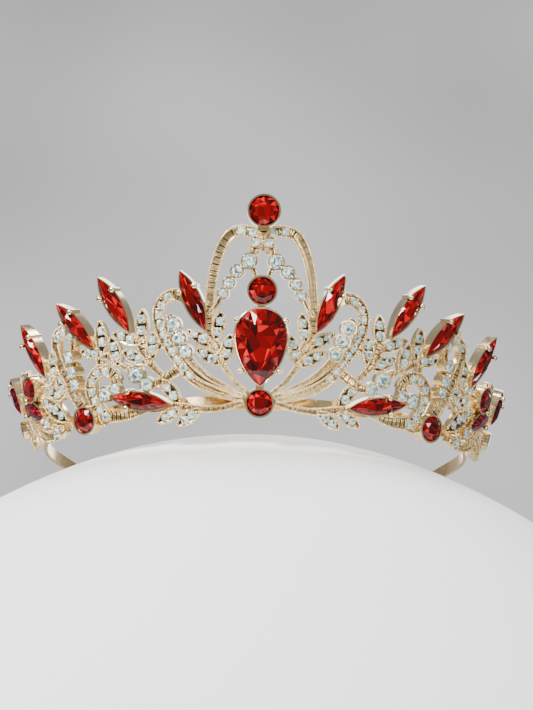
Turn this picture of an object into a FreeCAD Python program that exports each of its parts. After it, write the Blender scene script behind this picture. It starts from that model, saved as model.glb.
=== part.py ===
import FreeCAD, Part
import itertools
import math
import os
import Sketcher

# Tiara with red stones. Millimetres, +Z up, the front faces -Y.
# The castings follow one flared surface over an elliptical plan. A place on it is given as
# (along, up): the distance along the base curve from the front centre, and the height.

V = FreeCAD.Vector

SIZES = [
    ("crown_half_width", 54.0),
    ("crown_half_depth", 41.0),
    ("flare_angle", 19.0),
    ("plate_thickness", 1.4),
    ("band_height", 3.0),
    ("band_thickness", 0.9),
    ("band_inset", 1.2),
    ("band_level", 4.0),
    ("band_end_angle", 140.0),
    ("band_bend_angle", 105.0),
    ("band_end_drop", 2.7),
    ("loop_bore_radius", 1.6),
    ("loop_outer_radius", 3.0),
    ("peg_radius", 0.8),
    ("bezel_wall", 0.45),
    ("bezel_lip", 0.5),
    ("stone_gap", 0.03),
    ("seat_gap", 0.02),
    ("top_stone_diameter", 7.0),
    ("middle_stone_diameter", 6.3),
    ("bottom_stone_diameter", 6.0),
    ("side_stone_diameter", 6.0),
    ("end_stone_diameter", 6.0),
    ("back_stone_diameter", 4.0),
    ("girdle_height", 1.9),
    ("pear_length", 18.0),
    ("pear_width", 12.0),
    ("marquise_length", 15.0),
    ("marquise_width", 4.0),
    ("short_marquise_length", 10.5),
    ("setting_wall", 0.4),
    ("setting_floor", 0.5),
    ("prong_radius", 0.5),
    ("prong_rise", 1.1),
    ("cup_wall", 0.3),
    ("cup_rise", 1.5),
    ("tall_cup_rise", 2.6),
    ("girdle_sink", 0.35),
    ("pave_sink", 0.1),
    ("leaf_width", 2.9),
    ("rib_width", 0.9),
    ("arch_width", 1.5),
    ("scroll_width", 2.4),
    ("big_leaf_width", 4.2),
    ("stack_gap", 0.15),
    ("back_bar_width", 2.0),
    ("back_bar_depth", 0.7),
]

PLATE_OVERRUN = 30.0
SHELL_LOW = -6.0
SHELL_HIGH = 60.0
ARC_STEPS = 2000

doc = FreeCAD.newDocument("Tiara")
sheet = doc.addObject("Spreadsheet::Sheet", "Sizes")
for row, (alias, value) in enumerate(SIZES, start=1):
    sheet.set(f"A{row}", alias)
    sheet.set(f"B{row}", str(value))
    sheet.setAlias(f"B{row}", alias)
doc.recompute()


def size(alias):
    return float(sheet.get(alias))


HALF_WIDTH = size("crown_half_width")
HALF_DEPTH = size("crown_half_depth")
FLARE = math.radians(size("flare_angle"))
THICKNESS = size("plate_thickness")
GAP = size("seat_gap")

# Proportions of a brilliant, as shares of its diameter, and of the prongs on the long settings.
POINT_DEPTH = 0.42
CROWN_RISE = 0.17
TABLE_RADIUS = 0.3
GIRDLE_BAND = 0.03
CUP_SHOULDER = 0.2
PRONG_SIDE = 0.42
LOW_PRONG_SIDE = 0.26
PEAR_PRONG_HIGH = 0.36
PRONG_HIGH = 0.2

nodes = {}


def evaluate(expression):
    """The value of an expression over the sheet's aliases."""
    return float(sheet.evalExpression(expression))


# ---------------------------------------------------------------- the flared surface

def plan_point(angle):
    return V(HALF_WIDTH * math.sin(angle), HALF_DEPTH * (1 - math.cos(angle)), 0)


def plan_normal(angle):
    return V(math.sin(angle) / HALF_WIDTH, -math.cos(angle) / HALF_DEPTH, 0).normalize()


def arc_table(steps=ARC_STEPS, last=math.pi):
    lengths = [0.0]
    before = plan_point(0)
    for step in range(1, steps + 1):
        here = plan_point(last * step / steps)
        lengths.append(lengths[-1] + (here - before).Length)
        before = here
    return lengths


ARC = arc_table()


def angle_at(along):
    """The plan angle at a distance along the base curve, signed like the distance."""
    distance = abs(along)
    low, high = 0, ARC_STEPS
    while high - low > 1:
        middle = (low + high) // 2
        if ARC[middle] <= distance:
            low = middle
        else:
            high = middle
    share = (distance - ARC[low]) / (ARC[high] - ARC[low])
    return math.copysign(math.pi * (low + share) / ARC_STEPS, along)


def normal_at(angle):
    flat = plan_normal(angle)
    return V(flat.x * math.cos(FLARE), flat.y * math.cos(FLARE), -math.sin(FLARE))


def surface_point(angle, up, out=0.0):
    """A point of the surface at a height, moved out along the surface normal."""
    foot = plan_point(angle) + plan_normal(angle) * (up * math.tan(FLARE)) + V(0, 0, up)
    return foot + normal_at(angle) * out


def level_point(angle, level, out):
    """The point at one exact height on the surface moved out by a distance."""
    reach = level * math.tan(FLARE) + out / math.cos(FLARE)
    return plan_point(angle) + plan_normal(angle) * reach + V(0, 0, level)


def at(along, up, out=0.0):
    return surface_point(angle_at(along), up, out)


def axes_placement(origin, across, upward):
    """A placement whose local Y runs upward and local Z runs out of the surface."""
    z_axis = across.cross(upward).normalize()
    y_axis = upward.normalize()
    x_axis = y_axis.cross(z_axis)
    rotation = FreeCAD.Rotation(x_axis, y_axis, z_axis, "ZXY")
    return FreeCAD.Placement(origin, rotation)


def upright(along, up, out=0.0):
    """A seat on the surface whose local Y points up the slope."""
    angle = angle_at(along)
    slope = at(along, up + 1) - at(along, up)
    outward = normal_at(angle)
    return axes_placement(at(along, up, out), slope.cross(outward), slope)


def pointing(low, high, out=0.0):
    """A seat half way between two places, whose local Y points from the first to the second."""
    first, second = at(*low), at(*high)
    middle_along = (low[0] + high[0]) / 2
    upward = (second - first).normalize()
    outward = normal_at(angle_at(middle_along))
    origin = (first + second) * 0.5 + outward * out
    return axes_placement(origin, upward.cross(outward), upward)


# ---------------------------------------------------------------- document helpers

def add_node(label, obj):
    obj.Label = label
    nodes[label] = obj
    return obj


def add_group(label, members):
    """One node from several equal pieces that stay separate solids."""
    group = doc.addObject("Part::Compound", label)
    group.Links = members
    return add_node(label, group)


def add_shape(label, shape):
    feature = doc.addObject("Part::Feature", label)
    feature.Shape = shape
    return add_node(label, feature)


def origin_plane(body, role):
    for feature in body.Origin.OriginFeatures:
        if feature.Role == role:
            return feature
    raise RuntimeError(f"{body.Name} has no {role}")


def new_sketch(body, name, role, lift=None):
    sketch = body.newObject("Sketcher::SketchObject", name)
    sketch.AttachmentSupport = (origin_plane(body, role), [""])
    sketch.MapMode = "FlatFace"
    if lift is not None:
        sketch.setExpression("AttachmentOffset.Base.z", lift)
    return sketch


def bind(sketch, kind, *where, formula):
    index = sketch.addConstraint(Sketcher.Constraint(kind, *where, evaluate(formula)))
    sketch.setExpression(f"Constraints[{index}]", formula)


def polygon(sketch, corners):
    """A closed outline whose corners are pairs of formulas; "0" lies on the axis."""
    spots = [V(evaluate(x), evaluate(y), 0) for x, y in corners]
    count = len(corners)
    for i in range(count):
        sketch.addGeometry(Part.LineSegment(spots[i], spots[(i + 1) % count]), False)
    for i in range(count):
        sketch.addConstraint(Sketcher.Constraint("Coincident", i, 2, (i + 1) % count, 1))
    for i, (x, y) in enumerate(corners):
        if x == "0":
            sketch.addConstraint(Sketcher.Constraint("PointOnObject", i, 1, -2))
        else:
            bind(sketch, "DistanceX", -1, 1, i, 1, formula=x)
        bind(sketch, "DistanceY", -1, 1, i, 1, formula=y)


def lens(sketch, length, width):
    """Two arcs that meet in points at the top and the bottom."""
    half, side = evaluate(length) / 2, evaluate(width) / 2
    radius = (half * half + side * side) / (2 * side)
    reach = math.asin(half / radius)
    right = Part.ArcOfCircle(Part.Circle(V(side - radius, 0, 0), V(0, 0, 1), radius), -reach, reach)
    left = Part.ArcOfCircle(Part.Circle(V(radius - side, 0, 0), V(0, 0, 1), radius),
                            math.pi - reach, math.pi + reach)
    sketch.addGeometry(right, False)
    sketch.addGeometry(left, False)
    sketch.addConstraint(Sketcher.Constraint("Coincident", 0, 2, 1, 1))
    sketch.addConstraint(Sketcher.Constraint("Coincident", 1, 2, 0, 1))
    sketch.addConstraint(Sketcher.Constraint("PointOnObject", 0, 2, -2))
    sketch.addConstraint(Sketcher.Constraint("PointOnObject", 0, 1, -2))
    bind(sketch, "DistanceY", -1, 1, 0, 2, formula=f"({length}) / 2")
    bind(sketch, "DistanceY", 0, 1, -1, 1, formula=f"({length}) / 2")
    bow = f"(({length}) ^ 2 + ({width}) ^ 2) / (4 * ({width}))"
    bind(sketch, "Radius", 0, formula=bow)
    bind(sketch, "Radius", 1, formula=bow)


def drop_outline(sketch, length, width):
    """A round head of the full width above, and straight sides that meet in a point below."""
    radius = evaluate(width) / 2
    head = evaluate(length) / 2 - radius
    tip = -evaluate(length) / 2
    lean = math.asin(radius / (head - tip))
    arc = Part.ArcOfCircle(Part.Circle(V(0, head, 0), V(0, 0, 1), radius), -lean, math.pi + lean)
    right_end, left_end, point = arc.StartPoint, arc.EndPoint, V(0, tip, 0)
    sketch.addGeometry(arc, False)
    sketch.addGeometry(Part.LineSegment(left_end, point), False)
    sketch.addGeometry(Part.LineSegment(point, right_end), False)
    sketch.addConstraint(Sketcher.Constraint("Tangent", 0, 2, 1, 1))
    sketch.addConstraint(Sketcher.Constraint("Coincident", 1, 2, 2, 1))
    sketch.addConstraint(Sketcher.Constraint("Tangent", 2, 2, 0, 1))
    sketch.addConstraint(Sketcher.Constraint("PointOnObject", 0, 3, -2))
    sketch.addConstraint(Sketcher.Constraint("PointOnObject", 1, 2, -2))
    bind(sketch, "Radius", 0, formula=f"({width}) / 2")
    bind(sketch, "DistanceY", 1, 2, -1, 1, formula=f"({length}) / 2")
    bind(sketch, "DistanceY", -1, 1, 0, 3, formula=f"({length}) / 2 - ({width}) / 2")


def revolve(body, name, corners):
    sketch = new_sketch(body, f"{name}_outline", "XZ_Plane")
    polygon(sketch, corners)
    doc.recompute()
    turned = body.newObject("PartDesign::Revolution", name)
    turned.Profile = sketch
    turned.ReferenceAxis = (sketch, ["V_Axis"])
    turned.Angle = 360


def pad(body, sketch, name, length, kind="Pad"):
    feature = body.newObject(f"PartDesign::{kind}", name)
    feature.Profile = sketch
    feature.setExpression("Length", length)
    feature.Reversed = kind == "Pocket"
    doc.recompute()
    return feature


# ---------------------------------------------------------------- round stones and their cups

def round_stone(label, diameter, seat):
    """Brilliant outline: point, girdle and table, with the girdle's lower edge at girdle_height."""
    body = doc.addObject("PartDesign::Body", label)
    girdle = "Sizes.girdle_height"
    revolve(body, f"{label}_turn", [
        ("0", f"{girdle} - {POINT_DEPTH} * {diameter}"),
        (f"{diameter} / 2", girdle),
        (f"{diameter} / 2", f"{girdle} + {GIRDLE_BAND} * {diameter}"),
        (f"{diameter} * {TABLE_RADIUS}", f"{girdle} + {CROWN_RISE} * {diameter}"),
        ("0", f"{girdle} + {CROWN_RISE} * {diameter}"),
    ])
    body.Placement = seat
    return add_node(label, body)


def round_cup(label, diameter, seat):
    """Bezel cup: a cone seat carries the stone and a plain wall stands round its girdle."""
    body = doc.addObject("PartDesign::Body", label)
    girdle = "Sizes.girdle_height"
    floor = f"{girdle} - {POINT_DEPTH} * {diameter} - Sizes.setting_floor"
    hollow = f"{diameter} / 2 + Sizes.stone_gap"
    revolve(body, f"{label}_turn", [
        ("0", floor),
        (f"{diameter} * {TABLE_RADIUS}", floor),
        (f"{diameter} / 2 + Sizes.bezel_wall", f"{girdle} - {CUP_SHOULDER} * {diameter}"),
        (f"{diameter} / 2 + Sizes.bezel_wall", f"{girdle} + Sizes.bezel_lip"),
        (hollow, f"{girdle} + Sizes.bezel_lip"),
        (hollow, f"{girdle} - Sizes.stone_gap"),
        ("0", f"{girdle} - {POINT_DEPTH} * ({diameter} + 2 * Sizes.stone_gap) - Sizes.stone_gap"),
    ])
    body.Placement = seat
    return add_node(label, body)


def round_envelope(diameter, seat):
    """The space of a cup with its seat gap, to cut from the casting that carries it."""
    radius = diameter / 2 + size("bezel_wall") + GAP
    low = -THICKNESS * 2
    shape = Part.makeCylinder(radius, THICKNESS * 4, V(0, 0, low))
    shape.Placement = seat
    return shape


# ---------------------------------------------------------------- marquise and pear settings

def boat_setting(label, outline, length, width, seat, prongs):
    """Straight-walled boat with a pocket for the stone and round prongs on its wall."""
    body = doc.addObject("PartDesign::Body", label)
    wall = "Sizes.setting_wall"
    low = "-Sizes.plate_thickness / 2"
    rise = "Sizes.girdle_height + Sizes.plate_thickness / 2"
    outer = new_sketch(body, f"{label}_outer", "XY_Plane", low)
    outline(outer, f"{length} + 2 * {wall}", f"{width} + 2 * {wall}")
    doc.recompute()
    pad(body, outer, f"{label}_wall", rise)
    inner = new_sketch(body, f"{label}_inner", "XY_Plane", f"{low} + Sizes.setting_floor")
    outline(inner, f"{length} + 2 * Sizes.stone_gap", f"{width} + 2 * Sizes.stone_gap")
    doc.recompute()
    pad(body, inner, f"{label}_pocket", rise, "Pocket")
    posts = new_sketch(body, f"{label}_prongs", "XY_Plane", low)
    for index, (x, y) in enumerate(prongs):
        circle = Part.Circle(V(evaluate(x), evaluate(y), 0), V(0, 0, 1), size("prong_radius"))
        posts.addGeometry(circle, False)
        bind(posts, "Radius", index, formula="Sizes.prong_radius")
        bind(posts, "DistanceX", -1, 1, index, 3, formula=x)
        bind(posts, "DistanceY", -1, 1, index, 3, formula=y)
    doc.recompute()
    pad(body, posts, f"{label}_posts", f"{rise} + Sizes.prong_rise")
    body.Placement = seat
    return body


def loft_stone(label, outline, length, width, seat):
    """Stone with a small flat keel, a full girdle and a table."""
    body = doc.addObject("PartDesign::Body", label)
    floor = "-Sizes.plate_thickness / 2 + Sizes.setting_floor + Sizes.stone_gap"
    levels = [
        ("keel", floor, 0.4),
        ("girdle", "Sizes.girdle_height", 1.0),
        ("table", "Sizes.girdle_height + 0.25 * Sizes.marquise_width", 0.62),
    ]
    sketches = []
    for name, lift, share in levels:
        sketch = new_sketch(body, f"{label}_{name}", "XY_Plane", lift)
        outline(sketch, f"{length} * {share}", f"{width} * {share}")
        sketches.append(sketch)
    doc.recompute()
    loft = body.newObject("PartDesign::AdditiveLoft", f"{label}_loft")
    loft.Profile = sketches[0]
    loft.Sections = sketches[1:]
    loft.Ruled = True
    body.Placement = seat
    return body


# ---------------------------------------------------------------- castings

def smooth_curve(points):
    curve = Part.BSplineCurve()
    curve.interpolate(points)
    return curve


def facing_up(wire):
    """A flat face whose outside looks along +Z, so that neighbours join."""
    face = Part.Face(wire)
    if face.normalAt(0, 0).z > 0:
        return face
    face = Part.Face(wire.reversed())
    if face.normalAt(0, 0).z > 0:
        return face
    raise RuntimeError("face looks down")


class Sheet:
    """A flat working plane that touches the surface at one place, for one casting."""

    def __init__(self, along, up):
        self.place = upright(along, up)
        self.back = self.place.inverse()

    def flat(self, along, up):
        spot = self.back.multVec(at(along, up))
        return V(spot.x, spot.y, 0)

    def rib(self, points, first, last):
        """A strip along a smooth line, whose width goes evenly from first to last."""
        spots = [self.flat(*point) for point in points]
        line = smooth_curve(spots)
        steps = 2 * (len(points) - 1)
        left, right = [], []
        for step in range(steps + 1):
            share = step / steps
            where = line.FirstParameter + share * (line.LastParameter - line.FirstParameter)
            along_line = line.tangent(where)[0]
            half = (first + (last - first) * share) / 2
            side = V(-along_line.y, along_line.x, 0) * half
            left.append(line.value(where) + side)
            right.append(line.value(where) - side)
        right.reverse()
        edges = [
            smooth_curve(left).toShape(),
            Part.LineSegment(left[-1], right[0]).toShape(),
            smooth_curve(right).toShape(),
            Part.LineSegment(right[-1], left[0]).toShape(),
        ]
        return facing_up(Part.Wire(edges))

    def leaf(self, low, high, width):
        """A pointed leaf between two places: two equal arcs."""
        base, tip = self.flat(*low), self.flat(*high)
        middle = (base + tip) * 0.5
        run = (tip - base).normalize()
        side = V(-run.y, run.x, 0) * (width / 2)
        arcs = [
            Part.Arc(base, middle + side, tip).toShape(),
            Part.Arc(tip, middle - side, base).toShape(),
        ]
        return facing_up(Part.Wire(arcs))

    def disc(self, along, up, radius):
        circle = Part.Circle(self.flat(along, up), V(0, 0, 1), radius)
        return facing_up(Part.Wire(circle.toShape()))

    def plate(self, faces, shell):
        """The faces joined, pushed right through the shell and kept where they meet it."""
        outline = faces[0].fuse(faces[1:]).removeSplitter()
        prism = outline.extrude(V(0, 0, 2 * PLATE_OVERRUN))
        prism.translate(V(0, 0, -PLATE_OVERRUN))
        prism.Placement = self.place.multiply(prism.Placement)
        return prism.common(shell)


def shell_block(first_along, last_along, inner, outer):
    """A piece of the flared shell between two offsets from the surface."""
    steps = 8
    first, last = angle_at(first_along), angle_at(last_along)
    angles = [first + (last - first) * step / steps for step in range(steps + 1)]
    rings = []
    for level in (SHELL_LOW, SHELL_HIGH):
        outside = [level_point(angle, level, outer) for angle in angles]
        inside = [level_point(angle, level, inner) for angle in reversed(angles)]
        rings.append(Part.Wire([
            smooth_curve(outside).toShape(),
            Part.LineSegment(outside[-1], inside[0]).toShape(),
            smooth_curve(inside).toShape(),
            Part.LineSegment(inside[-1], outside[0]).toShape(),
        ]))
    return Part.makeLoft(rings, True, True)


def turned(profile):
    """A solid turned about Z from (radius, height) pairs."""
    spots = [V(radius, 0, height) for radius, height in profile]
    face = Part.Face(Part.makePolygon(spots + [spots[0]]))
    return face.revolve(V(0, 0, 0), V(0, 0, 1), 360)


def gem(diameter, place):
    """A small brilliant with its girdle at the placement's origin."""
    radius = diameter / 2
    shape = turned([
        (0, -POINT_DEPTH * diameter),
        (radius, 0),
        (radius, GIRDLE_BAND * diameter),
        (TABLE_RADIUS * diameter, CROWN_RISE * diameter),
        (0, CROWN_RISE * diameter),
    ])
    shape.Placement = place
    return shape


def gem_pocket(diameter, place):
    """The space of a small brilliant with its gap, open outward."""
    gap = size("stone_gap")
    radius = diameter / 2 + gap
    shape = turned([
        (0, -0.84 * radius - gap),
        (radius, -gap),
        (radius, diameter),
        (0, diameter),
    ])
    shape.Placement = place
    return shape


def cup(along, up, diameter, rise):
    """The round wall under and around one crystal of a chain, rooted inside the plate."""
    low = -THICKNESS / 4
    shape = Part.makeCylinder(diameter / 2 + size("cup_wall"), rise - low, V(0, 0, low))
    shape.Placement = upright(along, up)
    return shape


def peg(along, up):
    """A short round post from the back of a casting to the headband's outer face."""
    angle = angle_at(along)
    inward = plan_normal(angle) * -1
    reach = up * math.tan(FLARE) + size("band_inset") - size("band_thickness") / 2
    start = surface_point(angle, up)
    return Part.makeCylinder(size("peg_radius"), reach, start, inward)


def tapered_seat(diameter, place):
    """The outside of a round cup with its seat gap: a cone, then a cylinder."""
    girdle = size("girdle_height")
    floor = girdle - POINT_DEPTH * diameter - size("setting_floor")
    radius = diameter / 2 + size("bezel_wall") + GAP
    shape = turned([
        (0, floor - GAP),
        (diameter * TABLE_RADIUS + GAP, floor - GAP),
        (radius, girdle - CUP_SHOULDER * diameter - GAP),
        (radius, girdle + THICKNESS),
        (0, girdle + THICKNESS),
    ])
    shape.Placement = place
    return shape


def mirrored(spots, sign):
    return [(sign * spot[0],) + tuple(spot[1:]) for spot in spots]


def casting(label, middle, reach, pattern, signs, seats, extras):
    """One casting: pierced plate, crystal cups and pegs, less its stone and setting seats."""
    work = Sheet(*middle)
    shell = shell_block(reach[0], reach[1], -THICKNESS / 2, THICKNESS / 2)
    faces, additions, cuts = [], list(extras), list(seats)
    for sign in signs:
        for points, first, last in pattern["ribs"]:
            faces.append(work.rib(mirrored(points, sign), first, last))
        for low, high, width in pattern["leaves"]:
            faces.append(work.leaf(*mirrored((low, high), sign), width))
        for along, up, radius in mirrored(pattern["pads"], sign):
            faces.append(work.disc(along, up, radius))
        for along, up, diameter, rise in mirrored(pattern["chatons"], sign):
            additions.append(cup(along, up, diameter, rise))
            girdle = rise - size("girdle_sink")
            cuts.append(gem_pocket(diameter, upright(along, up, girdle)))
        for along, up in mirrored(pattern["pegs"], sign):
            additions.append(peg(along, up))
        for along, up, diameter in mirrored(pattern["pave"], sign):
            cuts.append(gem_pocket(diameter, upright(along, up, pave_level())))
    shape = work.plate(faces, shell).fuse(additions).cut(cuts)
    return add_shape(label, shape)


def pave_level():
    return THICKNESS / 2 - size("pave_sink")


def chaton_stones(label, areas, signs):
    """The crystals that stand in cups, as one group of separate solids."""
    stones = []
    for area, sign in itertools.product(areas, signs):
        for along, up, diameter, rise in mirrored(PATTERNS[area]["chatons"], sign):
            girdle = rise - size("girdle_sink")
            stones.append(gem(diameter, upright(along, up, girdle)))
    add_shape(label, Part.makeCompound(stones))


def pave_stones(label, areas, signs):
    """The small crystals set straight in the plates, as one group of separate solids."""
    stones = []
    for area, sign in itertools.product(areas, signs):
        for along, up, diameter in mirrored(PATTERNS[area]["pave"], sign):
            stones.append(gem(diameter, upright(along, up, pave_level())))
    add_shape(label, Part.makeCompound(stones))


# ---------------------------------------------------------------- patterns of the right half

RIB = size("rib_width")
SCROLL = size("scroll_width")
LEAF = size("leaf_width")
RISE = size("cup_rise")
TALL = size("tall_cup_rise")
COS = math.cos(FLARE)


def cup_radius(alias):
    return size(alias) / 2 + size("bezel_wall")


TOP_UP = 45.7
BOTTOM_UP = 3.35
PEAR_REACH = size("pear_length") / 2 + size("setting_wall")
PEAR_UP = BOTTOM_UP + (cup_radius("bottom_stone_diameter") + size("stack_gap") + PEAR_REACH) * COS
MIDDLE_UP = PEAR_UP + (PEAR_REACH + size("stack_gap") + cup_radius("middle_stone_diameter")) * COS

SIDE_SPOT = (42.5, 2.4)
END_SPOT = (59.0, 13.5)
BACK_SPOT = (72.6, 7.6)
MARQUISES = [
    ((11.7, 19.6), (16.4, 32.4)),
    ((28.2, 20.6), (33.7, 33.0)),
    ((37.3, 18.2), (44.5, 29.2)),
    ((52.4, 15.2), (56.4, 27.4)),
]
LOW_MARQUISE = ((20.4, 3.4), (34.6, 6.3))
END_MARQUISE = ((56.6, 6.1), (65.0, 11.5))
OUTER_MARQUISE = ((69.3, 10.6), (71.3, 20.2))


def centre_pattern():
    """Arch, its turned-in top, the crystal chain, two leaf pairs and the lower stem."""
    arch = size("arch_width")
    return {
        "ribs": [
            ([(10.4, 15.5), (10.9, 19), (10.8, 24), (10.4, 28.5), (9.6, 33), (8.2, 37.4),
              (6.4, 40.4), (4.0, 41.3), (1.9, 40.8), (1.2, 38.9), (1.7, 36.6)], arch, 2.2),
            ([(1.7, 37.2), (2.65, 34.5), (5.05, 32.3), (6.85, 29.9), (8.1, 27.6), (9.1, 25.2),
              (11.0, 23.0)], 1.2, RIB),
            ([(2.6, 33.8), (1.6, 32.3), (1.2, 30.4)], RIB, RIB),
            ([(10.4, 16.4), (9.2, 14.2), (8.2, 11.9), (5.8, 8.3), (2.4, 5.2)], 1.3, RIB),
            ([(0, 36.8), (0, 42.8)], 2.0, 3.0),
            ([(9.9, 17.0), (8.9, 15.5), (7.6, 14.6)], 1.6, RIB),
        ],
        "leaves": [
            ((9.7, 16.9), (8.35, 23.6), LEAF),
            ((8.1, 11.6), (6.3, 18.6), LEAF),
            ((9.7, 15.6), (15.8, 19.6), LEAF),
            ((8.1, 11.7), (14.0, 15.4), LEAF),
        ],
        "pads": [
            (0, TOP_UP, cup_radius("top_stone_diameter")),
            (0, MIDDLE_UP, cup_radius("middle_stone_diameter")),
            (0, BOTTOM_UP, cup_radius("bottom_stone_diameter")),
        ],
        "chatons": [
            (2.65, 34.5, 3.4, RISE),
            (5.05, 32.3, 2.8, RISE),
            (6.7, 29.75, 2.5, RISE),
            (7.95, 27.4, 2.3, RISE),
        ],
        "pave": [
            (4.2, 41.3, 1.7), (2.0, 40.8, 1.7), (1.3, 38.6, 1.7),
            (8.6, 21.3, 1.7), (9.15, 19.0, 1.7), (6.9, 16.5, 1.7), (7.4, 14.2, 1.7),
            (12.4, 17.5, 1.8), (14.3, 18.7, 1.5), (10.5, 13.1, 1.8), (12.4, 14.3, 1.6),
        ],
        "pegs": [(2.3, 3.9)],
    }


def wing_pattern():
    """Big hook scroll, its inner chain, two leaf sprays and the ribs that run to the middle."""
    return {
        "ribs": [
            ([(15.2, 25.6), (16.2, 26.9), (18.4, 27.6), (20.6, 26.3), (21.8, 23.8), (21.5, 20.2),
              (20.0, 16.2), (17.4, 11.7), (14.4, 8.4), (9.6, 6.0), (3.4, 4.4)], SCROLL, 1.5),
            ([(15.2, 25.8), (14.6, 23.8)], 1.2, 1.0),
            ([(19.4, 23.2), (18.7, 21.2), (17.6, 17.9), (16.25, 14.9), (14.4, 12.0), (11.2, 9.0),
              (5.2, 5.6)], 1.3, RIB),
            ([(3.4, 3.6), (7.6, 2.4), (11.5, 2.0), (15.5, 2.3), (20.2, 3.2)], 1.0, 1.6),
            ([(17.6, 11.2), (20.4, 9.6), (23.2, 8.2), (25.6, 8.55), (27.9, 10.7), (31.7, 13.3)],
             2.2, RIB),
            ([(26.2, 19.0), (25.7, 16.0), (24.4, 12.8), (21.4, 9.4)], 2.4, RIB),
            ([(21.6, 16.6), (24.0, 15.2)], 1.2, 1.2),
        ],
        "leaves": [
            ((18.3, 3.2), (21.9, 9.2), LEAF),
            ((13.4, 2.2), (19.2, -1.4), LEAF),
            ((18.2, 2.6), (24.1, -0.5), LEAF),
            ((26.1, 18.0), (25.0, 25.1), LEAF),
            ((24.5, 12.6), (23.1, 19.9), LEAF),
            ((26.2, 17.2), (32.6, 20.6), LEAF),
            ((25.0, 12.6), (30.7, 16.3), LEAF),
        ],
        "pads": [],
        "chatons": [
            (18.55, 21.0, 3.3, RISE),
            (17.6, 17.9, 3.2, RISE),
            (16.25, 14.9, 3.0, RISE),
            (27.9, 10.7, 3.6, RISE),
            (25.6, 8.3, 3.0, RISE),
        ],
        "pave": [
            (19.3, 27.1, 1.6), (20.9, 25.4, 1.6), (21.6, 23.3, 1.6), (21.4, 21.1, 1.6),
            (20.9, 19.0, 1.6), (20.2, 17.0, 1.6), (19.3, 15.1, 1.6), (18.2, 13.2, 1.6),
            (17.0, 11.3, 1.6), (15.6, 9.6, 1.6),
            (19.7, 5.3, 1.8), (21.0, 7.2, 1.6), (15.4, 0.8, 1.8), (17.2, -0.3, 1.7),
            (20.3, 1.4, 1.8), (21.9, 0.5, 1.6), (25.4, 22.8, 1.7), (25.8, 20.4, 1.8),
            (23.5, 18.0, 1.7), (23.8, 15.8, 1.8), (28.6, 18.6, 1.8), (30.6, 19.6, 1.7),
            (27.0, 14.1, 1.8), (28.8, 15.2, 1.7),
        ],
        "pegs": [(19.4, 4.0), (7.6, 5.1)],
    }


def side_pattern():
    """C-scroll, leaf spray and the crescent under the lying marquise."""
    return {
        "ribs": [
            ([(33.0, 9.8), (34.3, 12.0), (36.7, 12.7), (39.2, 11.2), (40.2, 8.2), (39.3, 5.2),
              (37.6, 2.8), (37.2, 1.4)], SCROLL, SCROLL),
            ([(33.2, 10.4), (33.2, 8.4), (36.0, 7.2), (38.4, 6.2)], 1.2, 1.2),
            ([(36.6, 16.4), (36.8, 12.8)], 1.2, 1.2),
            ([(24.6, 3.1), (28.0, 2.4), (32.0, 2.0), (36.2, 2.4)], RIB, 2.8),
            ([(32.3, 13.6), (34.0, 15.2), (36.4, 16.2)], 1.4, 1.6),
            ([(37.6, 1.6), (42.5, 2.4)], 2.2, 2.6),
        ],
        "leaves": [
            ((32.0, 12.8), (33.0, 20.0), LEAF),
            ((35.6, 15.9), (35.2, 24.0), LEAF),
            ((35.4, 16.1), (41.2, 17.9), LEAF),
        ],
        "pads": [(42.5, 2.4, cup_radius("side_stone_diameter"))],
        "chatons": [
            (33.5, 8.05, 2.6, RISE),
            (36.3, 7.3, 3.2, RISE),
        ],
        "pave": [
            (35.6, 12.3, 1.7), (37.8, 12.2, 1.7), (39.5, 10.5, 1.7), (40.0, 8.3, 1.7),
            (39.5, 6.1, 1.7), (38.5, 4.1, 1.7), (37.2, 2.3, 1.8),
            (32.6, 17.6, 1.7), (32.4, 15.4, 1.8), (35.2, 21.5, 1.7), (35.3, 19.0, 1.8),
            (37.6, 16.8, 1.8), (39.4, 17.4, 1.6),
        ],
        "pegs": [(30.0, 3.0), (37.6, 3.2)],
    }


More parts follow.
